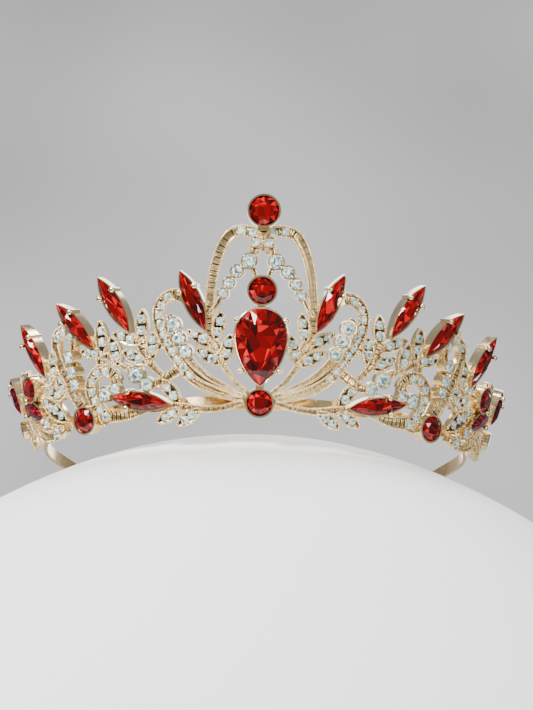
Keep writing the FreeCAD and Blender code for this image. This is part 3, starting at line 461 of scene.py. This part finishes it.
def centre_pattern():
    """Arch, its turned-in top, the crystal chain, two leaf pairs and the lower stem."""
    return {
        "ribs": [
            ([(10.4, 15.5), (10.9, 19), (10.8, 24), (10.4, 28.5), (9.6, 33), (8.2, 37.4),
              (6.4, 40.4), (4.0, 41.3), (1.9, 40.8), (1.2, 38.9), (1.7, 36.6)], ARCH, 2.2),
            ([(1.7, 37.2), (2.65, 34.5), (5.05, 32.3), (6.85, 29.9), (8.1, 27.6), (9.1, 25.2),
              (11.0, 23.0)], 1.2, RIB),
            ([(2.6, 33.8), (1.6, 32.3), (1.2, 30.4)], RIB, RIB),
            ([(10.4, 16.4), (9.2, 14.2), (8.2, 11.9), (5.8, 8.3), (2.4, 5.2)], 1.3, RIB),
            ([(0, 36.8), (0, 42.8)], 2.0, 3.0),
            ([(9.9, 17.0), (8.9, 15.5), (7.6, 14.6)], 1.6, RIB),
        ],
        "leaves": [
            ((9.7, 16.9), (8.35, 23.6), LEAF),
            ((8.1, 11.6), (6.3, 18.6), LEAF),
            ((9.7, 15.6), (15.8, 19.6), LEAF),
            ((8.1, 11.7), (14.0, 15.4), LEAF),
        ],
        "chatons": [
            (2.65, 34.5, 3.4, RISE),
            (5.05, 32.3, 2.8, RISE),
            (6.7, 29.75, 2.5, RISE),
            (7.95, 27.4, 2.3, RISE),
        ],
        "pave": [
            (4.2, 41.3, 1.7), (2.0, 40.8, 1.7), (1.3, 38.6, 1.7),
            (8.6, 21.3, 1.7), (9.15, 19.0, 1.7), (6.9, 16.5, 1.7), (7.4, 14.2, 1.7),
            (12.4, 17.5, 1.8), (14.3, 18.7, 1.5), (10.5, 13.1, 1.8), (12.4, 14.3, 1.6),
        ],
    }


def wing_pattern():
    """Big hook scroll, its inner chain, two leaf sprays and the ribs that run to the middle."""
    return {
        "ribs": [
            ([(15.2, 25.6), (16.2, 26.9), (18.4, 27.6), (20.6, 26.3), (21.8, 23.8), (21.5, 20.2),
              (20.0, 16.2), (17.4, 11.7), (14.4, 8.4), (9.6, 6.0), (3.4, 4.4)], SCROLL, 1.5),
            ([(15.2, 25.8), (14.6, 23.8)], 1.2, 1.0),
            ([(19.4, 23.2), (18.7, 21.2), (17.6, 17.9), (16.25, 14.9), (14.4, 12.0), (11.2, 9.0),
              (5.2, 5.6)], 1.3, RIB),
            ([(3.4, 3.6), (7.6, 2.4), (11.5, 2.0), (15.5, 2.3), (20.2, 3.2)], 1.0, 1.6),
            ([(17.6, 11.2), (20.4, 9.6), (23.2, 8.2), (25.6, 8.55), (27.9, 10.7), (31.7, 13.3)],
             2.2, RIB),
            ([(26.2, 19.0), (25.7, 16.0), (24.4, 12.8), (21.4, 9.4)], 2.4, RIB),
            ([(21.6, 16.6), (24.0, 15.2)], 1.2, 1.2),
        ],
        "leaves": [
            ((18.3, 3.2), (21.9, 9.2), LEAF),
            ((13.4, 2.2), (19.2, -1.4), LEAF),
            ((18.2, 2.6), (24.1, -0.5), LEAF),
            ((26.1, 18.0), (25.0, 25.1), LEAF),
            ((24.5, 12.6), (23.1, 19.9), LEAF),
            ((26.2, 17.2), (32.6, 20.6), LEAF),
            ((25.0, 12.6), (30.7, 16.3), LEAF),
        ],
        "chatons": [
            (18.55, 21.0, 3.3, RISE),
            (17.6, 17.9, 3.2, RISE),
            (16.25, 14.9, 3.0, RISE),
            (27.9, 10.7, 3.6, RISE),
            (25.6, 8.3, 3.0, RISE),
        ],
        "pave": [
            (19.3, 27.1, 1.6), (20.9, 25.4, 1.6), (21.6, 23.3, 1.6), (21.4, 21.1, 1.6),
            (20.9, 19.0, 1.6), (20.2, 17.0, 1.6), (19.3, 15.1, 1.6), (18.2, 13.2, 1.6),
            (17.0, 11.3, 1.6), (15.6, 9.6, 1.6),
            (19.7, 5.3, 1.8), (21.0, 7.2, 1.6), (15.4, 0.8, 1.8), (17.2, -0.3, 1.7),
            (20.3, 1.4, 1.8), (21.9, 0.5, 1.6), (25.4, 22.8, 1.7), (25.8, 20.4, 1.8),
            (23.5, 18.0, 1.7), (23.8, 15.8, 1.8), (28.6, 18.6, 1.8), (30.6, 19.6, 1.7),
            (27.0, 14.1, 1.8), (28.8, 15.2, 1.7),
        ],
    }


def side_pattern():
    """C-scroll, leaf spray and the crescent under the lying marquise."""
    return {
        "ribs": [
            ([(33.0, 9.8), (34.3, 12.0), (36.7, 12.7), (39.2, 11.2), (40.2, 8.2), (39.3, 5.2),
              (37.6, 2.8), (37.2, 1.4)], SCROLL, SCROLL),
            ([(33.2, 10.4), (33.2, 8.4), (36.0, 7.2), (38.4, 6.2)], 1.2, 1.2),
            ([(36.6, 16.4), (36.8, 12.8)], 1.2, 1.2),
            ([(24.6, 3.1), (28.0, 2.4), (32.0, 2.0), (36.2, 2.4)], RIB, 2.8),
            ([(32.3, 13.6), (34.0, 15.2), (36.4, 16.2)], 1.4, 1.6),
            ([(37.6, 1.6), (42.5, 2.4)], 2.2, 2.6),
        ],
        "leaves": [
            ((32.0, 12.8), (33.0, 20.0), LEAF),
            ((35.6, 15.9), (35.2, 24.0), LEAF),
            ((35.4, 16.1), (41.2, 17.9), LEAF),
        ],
        "chatons": [
            (33.5, 8.05, 2.6, RISE),
            (36.3, 7.3, 3.2, RISE),
        ],
        "pave": [
            (35.6, 12.3, 1.7), (37.8, 12.2, 1.7), (39.5, 10.5, 1.7), (40.0, 8.3, 1.7),
            (39.5, 6.1, 1.7), (38.5, 4.1, 1.7), (37.2, 2.3, 1.8),
            (32.6, 17.6, 1.7), (32.4, 15.4, 1.8), (35.2, 21.5, 1.7), (35.3, 19.0, 1.8),
            (37.6, 16.8, 1.8), (39.4, 17.4, 1.6),
        ],
    }


def end_pattern():
    """Small hook scroll, its tall chain, leaves, the stone column and the end crescent."""
    return {
        "ribs": [
            ([(42.7, 19.6), (43.4, 22.3), (45.6, 23.5), (47.5, 22.0), (47.9, 18.8), (47.4, 15.2),
              (46.4, 11.6), (44.9, 8.2), (43.2, 4.6)], 1.6, 2.6),
            ([(42.8, 20.2), (43.5, 17.0), (43.5, 13.6), (43.4, 10.8), (44.6, 7.4)], 1.2, 1.2),
            ([(47.4, 14.2), (50.0, 14.4), (52.6, 13.4), (55.8, 13.6)], 1.4, 1.6),
            ([(47.2, 11.0), (49.2, 9.4), (52.4, 8.6), (56.6, 9.4)], 1.4, 2.2),
            ([(56.6, 9.4), (61.0, 10.6), (64.4, 12.0)], 1.6, 1.6),
            ([(60.6, 17.2), (63.4, 17.6), (64.6, 14.6), (64.6, 11.2), (65.6, 8.0), (67.4, 4.8),
              (69.2, 2.4)], 1.4, 2.0),
            ([(64.6, 14.6), (67.4, 13.0), (70.2, 12.2)], 1.4, 1.4),
            ([(66.6, 7.0), (69.6, 7.8), (72.4, 7.8)], 1.4, 1.6),
            ([(50.6, 1.6), (54.4, 1.0), (59.0, 2.0), (62.6, 4.4), (65.4, 8.0)], 1.4, 3.0),
            ([(62.0, 3.6), (66.0, 2.6), (69.4, 2.4)], 1.6, 2.0),
        ],
        "leaves": [
            ((50.8, 13.8), (48.6, 20.2), LEAF),
            ((47.8, 9.0), (49.2, 14.8), LEAF),
            ((50.9, 12.8), (55.6, 15.9), LEAF),
            ((49.2, 8.2), (53.8, 12.5), LEAF),
            ((49.0, 3.2), (56.9, 10.4), BIG_LEAF),
        ],
        "chatons": [
            (43.5, 17.0, 2.9, TALL),
            (43.5, 13.6, 2.8, TALL),
            (43.2, 10.75, 2.6, TALL),
            (53.4, 1.55, 2.8, RISE),
            (56.3, 4.5, 2.8, RISE),
            (68.75, 2.8, 2.4, RISE),
        ],
        "pave": [
            (43.4, 21.7, 1.5), (45.2, 23.3, 1.6), (47.1, 22.4, 1.6),
            (49.5, 17.6, 1.7), (50.2, 15.2, 1.7), (48.5, 12.9, 1.6), (48.5, 10.7, 1.6),
            (52.4, 13.9, 1.6), (54.1, 14.9, 1.5), (50.9, 9.8, 1.6), (52.5, 11.3, 1.6),
            (51.0, 5.1, 1.7), (52.5, 6.7, 1.8), (54.2, 7.6, 1.8), (55.3, 9.2, 1.5),
            (63.3, 17.0, 1.6), (64.5, 14.8, 1.6), (64.5, 12.6, 1.6), (64.8, 10.4, 1.6),
            (65.8, 8.0, 1.6), (67.0, 5.6, 1.6),
        ],
    }


# ---------------------------------------------------------------- where the settings stand

def both_sides(spots):
    """The same spots on the left and on the right."""
    return [[(sign * along, up) for along, up in spots] for sign in (1, -1)]


ROUNDS = [(0, TOP_UP, TOP_STONE), (0, MIDDLE_UP, MIDDLE_STONE), (0, BOTTOM_UP, ROUND_STONE)]
for spot, size in ((SIDE_SPOT, ROUND_STONE), (END_SPOT, ROUND_STONE), (BACK_SPOT, BACK_STONE)):
    ROUNDS += [(*where, size) for (where,) in both_sides([spot])]
LENS_SEATS = [(pointing(*pair), MARQUISE_LENGTH)
              for ends in MARQUISES + [LOW_MARQUISE] for pair in both_sides(ends)]
LENS_SEATS += [(pointing(*pair), SHORT_MARQUISE_LENGTH)
               for ends in SHORT_MARQUISES for pair in both_sides(ends)]
PEAR_SEAT = seat(0, PEAR_UP)
PEAR_EDGE = pear_outline(PEAR_LENGTH, PEAR_WIDTH)


def in_setting(points):
    """Which of the points lie under a stone's setting."""
    blocked = np.zeros(len(points), bool)
    for along, up, diameter in ROUNDS:
        middle = on_surface(along, up)
        blocked |= np.linalg.norm(points - middle, axis=1) < diameter / 2 + 2 * CLEARANCE
    for (origin, x_axis, y_axis, _), length in LENS_SEATS:
        x, y = (points - origin) @ x_axis, (points - origin) @ y_axis
        share = np.clip(np.abs(y) / (length / 2 + SETTING_WALL), 0, 1)
        half = (MARQUISE_WIDTH / 2 + SETTING_WALL) * (1 - share ** 2)
        blocked |= (np.abs(x) < half + CLEARANCE) & (share < 1)
    origin, x_axis, y_axis, _ = PEAR_SEAT
    x, y = (points - origin) @ x_axis, (points - origin) @ y_axis
    radius = PEAR_WIDTH / 2 + SETTING_WALL
    middle = PEAR_LENGTH / 2 - PEAR_WIDTH / 2
    share = np.clip((middle - y) / (PEAR_LENGTH / 2 + middle + SETTING_WALL), 0, 1)
    blocked |= (np.hypot(x, y - middle) < radius + CLEARANCE) | (
        (y < middle) & (share < 1) & (np.abs(x) < radius * (1 - share ** 1.7) + CLEARANCE))
    return blocked


def free_runs(line):
    """The stretches of a line that lie outside every setting."""
    blocked = in_setting(on_surface(line[:, 0], line[:, 1]))
    runs, run = [], []
    for index, stop in enumerate(blocked):
        if not stop:
            run.append(index)
        if (stop or index == len(line) - 1) and run:
            if len(run) > 3:
                runs.append(np.array(run))
            run = []
    return runs


# ---------------------------------------------------------------- materials

def new_material(name):
    material = bpy.data.materials.new(name)
    material.use_nodes = True
    nodes, links = material.node_tree.nodes, material.node_tree.links
    return material, nodes, links, nodes["Principled BSDF"]


def ramp_node(nodes, stops):
    ramp = nodes.new("ShaderNodeValToRGB")
    for element, (position, color) in zip(ramp.color_ramp.elements, (stops[0], stops[-1])):
        element.position, element.color = position, color
    for position, color in stops[1:-1]:
        ramp.color_ramp.elements.new(position).color = color
    return ramp


def noise_node(nodes, links, scale, detail=3.0):
    where = nodes.new("ShaderNodeTexCoord")
    noise = nodes.new("ShaderNodeTexNoise")
    noise.inputs["Scale"].default_value = scale
    noise.inputs["Detail"].default_value = detail
    links.new(where.outputs["Object"], noise.inputs["Vector"])
    return noise


def metal(name, pale, warm, painted_shade_color, rough):
    """Plated metal: cloudy colour, uneven polish, fine casting grain and painted shade that darkens the
    recesses.
    """
    material, nodes, links, shader = new_material(name)
    clouds = noise_node(nodes, links, 90.0)
    tint = ramp_node(nodes, [(0.32, (*warm, 1)), (0.62, (*pale, 1))])
    links.new(clouds.outputs["Fac"], tint.inputs["Fac"])
    # Painted shade: the relief's valleys are mixed towards a dark colour in place of ambient occlusion.
    painted_shade_attribute = nodes.new("ShaderNodeAttribute")
    painted_shade_attribute.attribute_name = "recess"
    shade = nodes.new("ShaderNodeMix")
    shade.data_type = "RGBA"
    links.new(painted_shade_attribute.outputs["Fac"], shade.inputs["Factor"])
    links.new(tint.outputs["Color"], shade.inputs[6])
    shade.inputs[7].default_value = (*painted_shade_color, 1)
    links.new(shade.outputs[2], shader.inputs["Base Color"])
    polish = noise_node(nodes, links, 420.0, 5.0)
    spread = ramp_node(nodes, [(0.3, (rough * 0.6,) * 3 + (1,)), (0.75, (rough * 1.5,) * 3 + (1,))])
    links.new(polish.outputs["Fac"], spread.inputs["Fac"])
    links.new(spread.outputs["Color"], shader.inputs["Roughness"])
    grain = noise_node(nodes, links, 2600.0, 4.0)
    bump = nodes.new("ShaderNodeBump")
    bump.inputs["Strength"].default_value = 0.35
    bump.inputs["Distance"].default_value = 0.00005
    links.new(grain.outputs["Fac"], bump.inputs["Height"])
    links.new(bump.outputs["Normal"], shader.inputs["Normal"])
    shader.inputs["Metallic"].default_value = 1.0
    return material


def faceted(name, stops, cell, rough, ior):
    """Cut glass: every facet and every reflection inside it gets its own painted brightness in the base
    colour, painted reflections and glints.
    """
    material, nodes, links, shader = new_material(name)
    where = nodes.new("ShaderNodeTexCoord")
    cells = nodes.new("ShaderNodeTexVoronoi")
    cells.inputs["Scale"].default_value = cell
    links.new(where.outputs["Object"], cells.inputs["Vector"])
    facet = nodes.new("ShaderNodeNewGeometry")
    both = nodes.new("ShaderNodeVectorMath")
    both.operation = "ADD"
    links.new(cells.outputs["Color"], both.inputs[0])
    links.new(facet.outputs["True Normal"], both.inputs[1])
    painted_glint_noise = nodes.new("ShaderNodeTexWhiteNoise")
    links.new(both.outputs["Vector"], painted_glint_noise.inputs["Vector"])
    # Painted reflections: the ramp turns each facet's random value into a base colour from dark to a bright
    # painted glint.
    tint = ramp_node(nodes, stops)
    links.new(painted_glint_noise.outputs["Value"], tint.inputs["Fac"])
    links.new(tint.outputs["Color"], shader.inputs["Base Color"])
    wear = noise_node(nodes, links, 1500.0)
    spread = ramp_node(nodes, [(0.3, (rough * 0.5,) * 3 + (1,)), (0.8, (rough * 2,) * 3 + (1,))])
    links.new(wear.outputs["Fac"], spread.inputs["Fac"])
    links.new(spread.outputs["Color"], shader.inputs["Roughness"])
    bump = nodes.new("ShaderNodeBump")
    bump.inputs["Strength"].default_value = 0.08
    bump.inputs["Distance"].default_value = 0.00002
    links.new(wear.outputs["Fac"], bump.inputs["Height"])
    links.new(bump.outputs["Normal"], shader.inputs["Normal"])
    shader.inputs["IOR"].default_value = ior
    shader.inputs["Coat Weight"].default_value = 0.15
    shader.inputs["Coat Roughness"].default_value = 0.02
    return material


# The third colour of each metal is the painted shade mixed into the relief's valleys.
CAST = metal("cast_gold", (0.95, 0.76, 0.43), (0.78, 0.57, 0.26), (0.13, 0.08, 0.03), 0.22)
BAND = metal("band_gold", (0.82, 0.62, 0.32), (0.66, 0.46, 0.2), (0.2, 0.12, 0.05), 0.24)
CLAW = metal("claw_gold", (0.95, 0.78, 0.48), (0.8, 0.61, 0.32), (0.25, 0.18, 0.1), 0.16)
# The bright ends of these ramps are painted glints and reflections in the stones and their foils.
RED = faceted("red_glass", [(0.0, (0.012, 0.0, 0.0, 1)), (0.4, (0.09, 0.0, 0.0, 1)),
                            (0.8, (0.2, 0.0, 0.001, 1)), (1.0, (0.7, 0.01, 0.01, 1))], 300.0, 0.04, 1.38)
DARK_RED = faceted("dark_red_glass", [(0.0, (0.008, 0.0, 0.002, 1)), (0.6, (0.06, 0.0, 0.005, 1)),
                                      (1.0, (0.3, 0.005, 0.02, 1))], 600.0, 0.05, 1.4)
RED_FOIL = faceted("red_foil", [(0.0, (0.05, 0.0, 0.002, 1)), (1.0, (0.35, 0.01, 0.02, 1))], 600.0, 0.2, 1.4)
CRYSTAL = faceted("clear_crystal", [(0.0, (0.03, 0.07, 0.07, 1)), (0.3, (0.2, 0.33, 0.31, 1)),
                                    (0.65, (0.6, 0.8, 0.77, 1)), (1.0, (1.0, 1.0, 1.0, 1))],
                  1100.0, 0.04, 1.7)
FOIL = faceted("crystal_foil", [(0.0, (0.3, 0.3, 0.3, 1)), (1.0, (0.8, 0.8, 0.78, 1))], 1500.0, 0.2, 1.6)


# ---------------------------------------------------------------- the pieces

LEAF_FULLER = 1.12
PAVE_FULLER = 1.2
STEMS = [
    [(17.4, 13.6), (14.6, 10.3), (10.6, 7.5), (4.4, 5.1)],
    [(16.6, 9.4), (13.4, 6.9), (8.6, 4.9), (3.4, 3.9)],
]
STEM_WIDTH = 1.3
SHOULDER_LEVEL = 2.75
SHOULDER_CLAW = (0.85, 0.8, 0.6)
PEAR_CLAW = (0.85, 0.85, 0.8)
PEAR_CLAW_LEVEL = 2.3
PEAR_CLAW_SPOTS = [(5.7, 6.2), (-5.7, 6.2), (4.5, -5.6), (-4.5, -5.6)]
# Rings of the pear's wall: how far outside the stone's edge, and how far out of the surface.
PEAR_WALL_RINGS = [(-0.3, -0.7), (0.3, -0.7), (0.42, -0.4), (0.46, 1.7), (0.36, 2.0), (0.12, 2.05),
                   (-0.05, 1.85), (-0.35, 1.2)]


def mirrored(spots, sign):
    """The spots as they are on the right, or turned over to the left."""
    return [(sign * spot[0], spot[1]) for spot in spots]


def relief(mesh, pattern, sign):
    """The grained strips, leaves and crystal cups that stand on one casting."""
    for points, first, last in pattern["ribs"]:
        line = smooth_line(mirrored(points, sign))
        widths = WIDER * np.linspace(first, last, len(line))
        wide = max(first, last) > LADDER_WIDTH
        for run in free_runs(line):
            part, part_widths = line[run], widths[run]
            sides, half = strip(mesh, part, part_widths, CHANNEL if wide else NARROW)
            grained_edges(mesh, part, sides, half)
            if wide:
                cross_bars(mesh, part, half)
    for points in pattern.get("stems", ()):
        line = smooth_line(mirrored(points, sign))
        for run in free_runs(line):
            widths = np.full(len(run), STEM_WIDTH)
            sides, half = strip(mesh, line[run], widths, NARROW)
            grained_edges(mesh, line[run], sides, half)
    for base, tip, width in pattern["leaves"]:
        leaf(mesh, (sign * base[0], base[1]), (sign * tip[0], tip[1]), LEAF_FULLER * width)
    for along, up, diameter, rise in pattern["chatons"]:
        crystal_cup(mesh, sign * along, up, diameter, rise)
    for along, up, diameter in pattern["pave"]:
        origin, *axes = seat(sign * along, up)
        claws(mesh, origin, axes, PAVE_FULLER * diameter / 2 + STONE_GAP, PAVE_LEVEL + PAVE_CLAW, PAVE_CLAW)


def crystals(mesh, pattern, sign):
    for along, up, diameter, rise in pattern["chatons"]:
        level = rise - GIRDLE_SINK + CHATON_LIFT
        cut_stone(mesh, seat(sign * along, up), round_outline(diameter), diameter, level)


def pave(mesh, pattern, sign):
    for along, up, diameter in pattern["pave"]:
        full = PAVE_FULLER * diameter
        level = PAVE_LEVEL + PAVE_LIFT
        cut_stone(mesh, seat(sign * along, up), round_outline(full), full, level, depth=PAVE_DEPTH)


def crystal_piece(mesh, node):
    mesh.build(node + "_cut", [CRYSTAL, FOIL], False, [node])


def red_piece(mesh, node, material):
    """A red stone that stands for the plain one of the CAD."""
    piece = mesh.build(node + "_cut", [material, RED_FOIL], False, [node])


def round_gem(name, along, up, diameter, material):
    mesh = Mesh()
    cut_stone(mesh, seat(along, up), round_outline(diameter), diameter, GIRDLE, crown=0.17)
    red_piece(mesh, name, material)


def lens_gems(name, pairs, length, material):
    mesh = Mesh()
    for pair in pairs:
        outline = lens_outline(length, MARQUISE_WIDTH)
        cut_stone(mesh, pointing(*pair), outline, MARQUISE_WIDTH, GIRDLE,
                  sides=10, table=0.5, crown=0.25, depth=0.5)
    red_piece(mesh, name, material)


def shoulder_claws(mesh, pair, length):
    origin, x_axis, y_axis, z_axis = pointing(*pair)
    reach = 0.42 * MARQUISE_WIDTH + SETTING_WALL
    for sign in (1, -1):
        middle = origin + x_axis * (sign * (reach - 0.1)) + y_axis * (0.2 * length)
        add_bead(mesh, middle + z_axis * SHOULDER_LEVEL, x_axis, y_axis, z_axis, SHOULDER_CLAW)


def pear_wall(mesh):
    """The pear's smooth setting, with its fuller flanks and four round claws."""
    origin, x_axis, y_axis, z_axis = PEAR_SEAT
    turns = np.linspace(0, 2 * math.pi, 64, endpoint=False)
    edge = np.array([PEAR_EDGE(turn) for turn in turns])
    move = np.roll(edge, -1, axis=0) - np.roll(edge, 1, axis=0)
    away = np.stack([-move[:, 1], move[:, 0]], axis=1)
    away /= np.linalg.norm(away, axis=1, keepdims=True)
    rings = []
    for offset, height in PEAR_WALL_RINGS:
        flat = edge + away * offset
        rings.append(origin + flat[:, :1] * x_axis + flat[:, 1:] * y_axis + height * z_axis)
    mesh.add(np.vstack(rings), ring_faces(len(rings), len(turns)))
    for x, y in PEAR_CLAW_SPOTS:
        middle = origin + x_axis * x + y_axis * y + z_axis * PEAR_CLAW_LEVEL
        add_bead(mesh, middle, x_axis, y_axis, z_axis, PEAR_CLAW)


def build_object():
    for area, pattern in [("centre", centre_pattern()), ("wing", {**wing_pattern(), "stems": STEMS}),
                          ("side", side_pattern()), ("end", end_pattern())]:
        for name, sign in (("left", -1), ("right", 1)):
            mesh = Mesh()
            relief(mesh, pattern, sign)
            mesh.build(f"{name}_{area}_relief", [CAST])
    for name, sign in (("left", -1), ("right", 1)):
        gems, grains = Mesh(), Mesh()
        for pattern in (wing_pattern(), side_pattern(), end_pattern()):
            crystals(gems, pattern, sign)
            pave(grains, pattern, sign)
        crystal_piece(gems, f"{name}_crystals")
        crystal_piece(grains, f"{name}_pave")
    gems, grains = Mesh(), Mesh()
    for sign in (1, -1):
        crystals(gems, centre_pattern(), sign)
        pave(grains, centre_pattern(), sign)
    crystal_piece(gems, "centre_crystals")
    crystal_piece(grains, "centre_pave")
    round_gem("top_stone", 0, TOP_UP, TOP_STONE, RED)
    round_gem("middle_stone", 0, MIDDLE_UP, MIDDLE_STONE, RED)
    round_gem("bottom_stone", 0, BOTTOM_UP, ROUND_STONE, RED)
    mesh = Mesh()
    cut_stone(mesh, PEAR_SEAT, PEAR_EDGE, 0.4 * PEAR_WIDTH, GIRDLE,
              sides=14, table=0.6, crown=0.36, depth=0.5)
    red_piece(mesh, "pear_stone", RED)
    mesh = Mesh()
    pear_wall(mesh)
    mesh.build("pear_wall", [CLAW], True, ["pear_setting"])
    for name, sign in (("left", -1), ("right", 1)):
        round_gem(f"{name}_side_stone", sign * SIDE_SPOT[0], SIDE_SPOT[1], ROUND_STONE, RED)
        round_gem(f"{name}_end_stone", sign * END_SPOT[0], END_SPOT[1], ROUND_STONE, RED)
        round_gem(f"{name}_back_stone", sign * BACK_SPOT[0], BACK_SPOT[1], BACK_STONE, DARK_RED)
        tips = Mesh()
        for index, pair in enumerate(MARQUISES, start=1):
            turned = mirrored(pair, sign)
            lens_gems(f"{name}_marquise_{index}_stone", [turned], MARQUISE_LENGTH, RED)
            shoulder_claws(tips, turned, MARQUISE_LENGTH)
        turned = mirrored(LOW_MARQUISE, sign)
        lens_gems(f"{name}_low_marquise_stone", [turned], MARQUISE_LENGTH, RED)
        shoulder_claws(tips, turned, MARQUISE_LENGTH)
        shorts = [mirrored(pair, sign) for pair in SHORT_MARQUISES]
        lens_gems(f"{name}_short_marquise_stones", shorts, SHORT_MARQUISE_LENGTH, DARK_RED)
        for pair in shorts:
            shoulder_claws(tips, pair, SHORT_MARQUISE_LENGTH)
        tips.build(f"{name}_claws", [CLAW])


def dress_castings():
    """The CAD parts that stay: castings, cups, settings and the band get their metals."""
    for name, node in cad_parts.items():
        if node.hide_render or node.type != "MESH":
            continue
        plated = CAST
        if name == "headband":
            plated = BAND
        elif name.endswith(("cup", "setting", "settings")):
            plated = CLAW
        for slot in node.material_slots:
            slot.material = plated


build_object()
dress_castings()


# ---------------------------------------------------------------- stage, light and camera

def cloth_material():
    material, nodes, links, shader = new_material("pale_cloth")
    clouds = noise_node(nodes, links, 3.2, 1.0)
    tint = ramp_node(nodes, [(0.35, (0.6, 0.6, 0.61, 1)), (0.65, (0.86, 0.86, 0.87, 1))])
    links.new(clouds.outputs["Fac"], tint.inputs["Fac"])
    links.new(tint.outputs["Color"], shader.inputs["Base Color"])
    weave = noise_node(nodes, links, 900.0)
    bump = nodes.new("ShaderNodeBump")
    bump.inputs["Strength"].default_value = 0.2
    bump.inputs["Distance"].default_value = 0.0002
    links.new(weave.outputs["Fac"], bump.inputs["Height"])
    links.new(bump.outputs["Normal"], shader.inputs["Normal"])
    shader.inputs["Roughness"].default_value = 0.9
    return material


CREST = 7.3
CREST_Y = 14.0
FRONT_FALL = 0.008
REAR_FALL = 0.011
SIDE_FALL = 0.0046
CLOTH = cloth_material()


def sheet_mesh(name, xs, ys, height):
    points = [(x * MM, y * MM, height(x, y) * MM) for y in ys for x in xs]
    faces = []
    for row in range(len(ys) - 1):
        for i in range(len(xs) - 1):
            start = row * len(xs) + i
            faces.append((start, start + 1, start + len(xs) + 1, start + len(xs)))
    data = bpy.data.meshes.new(name)
    data.from_pydata(points, [], faces)
    data.materials.append(CLOTH)
    data.polygons.foreach_set("use_smooth", np.full(len(faces), True))
    piece = bpy.data.objects.new(name, data)
    bpy.context.scene.collection.objects.link(piece)
    return piece


def mound(x, y):
    fall = FRONT_FALL if y < CREST_Y else REAR_FALL
    return CREST - fall * (y - CREST_Y) ** 2 - SIDE_FALL * x * x


sheet_mesh("floor", np.linspace(-220, 220, 81), np.linspace(-190, 190, 77), mound)
backdrop = sheet_mesh("backdrop", np.linspace(-1500, 1500, 9), np.linspace(-900, 1500, 9), lambda x, y: 0.0)
backdrop.rotation_euler = (math.radians(90), 0, 0)
backdrop.location = (0, 1.0, 0)


def soft_light(name, place, power, size, color):
    light = bpy.data.lights.new(name, "AREA")
    light.energy, light.size, light.color = power, size, color
    piece = bpy.data.objects.new(name, light)
    piece.location = place
    aim = Vector((0, -0.02, 0.025)) - Vector(place)
    piece.rotation_euler = aim.to_track_quat("-Z", "Y").to_euler()
    bpy.context.scene.collection.objects.link(piece)


soft_light("key", (-0.5, -0.55, 0.35), 16.0, 0.22, (1.0, 0.98, 0.95))
soft_light("fill", (0.5, -0.65, -0.05), 4.0, 0.2, (1.0, 0.97, 0.93))
soft_light("top", (0.05, -0.1, 0.7), 6.0, 0.3, (1.0, 1.0, 1.0))
soft_light("back", (0.1, 0.6, 0.45), 4.0, 0.6, (1.0, 1.0, 1.0))

world = bpy.data.worlds.new("studio")
world.use_nodes = True
world.node_tree.nodes["Background"].inputs["Color"].default_value = (0.78, 0.79, 0.82, 1)
world.node_tree.nodes["Background"].inputs["Strength"].default_value = 0.42
bpy.context.scene.world = world

ELEVATION = math.radians(-20.0)
AZIMUTH = math.radians(-1.03)
ROLL = math.radians(1.07)
DISTANCE = 483.05
LENS = 103.1

level = math.cos(ELEVATION)
back = Vector((math.sin(AZIMUTH) * level, -math.cos(AZIMUTH) * level, math.sin(ELEVATION)))
right = Vector((math.cos(AZIMUTH), math.sin(AZIMUTH), 0))
rise = back.cross(right)
turned_right = right * math.cos(ROLL) + rise * math.sin(ROLL)
turned_rise = rise * math.cos(ROLL) - right * math.sin(ROLL)
target = Vector((0, 0, 25)) + Vector(SHIFT.tolist())
camera_data = bpy.data.cameras.new("camera")
camera_data.lens = LENS
camera_data.sensor_width = 36.0
camera_data.shift_x = 0.008
camera_data.shift_y = -0.053
camera_data.clip_end = 10.0
camera = bpy.data.objects.new("camera", camera_data)
turn = Matrix((turned_right, turned_rise, back)).transposed().to_4x4()
camera.matrix_world = Matrix.Translation((target + back * DISTANCE) * MM) @ turn
bpy.context.scene.collection.objects.link(camera)
bpy.context.scene.camera = camera
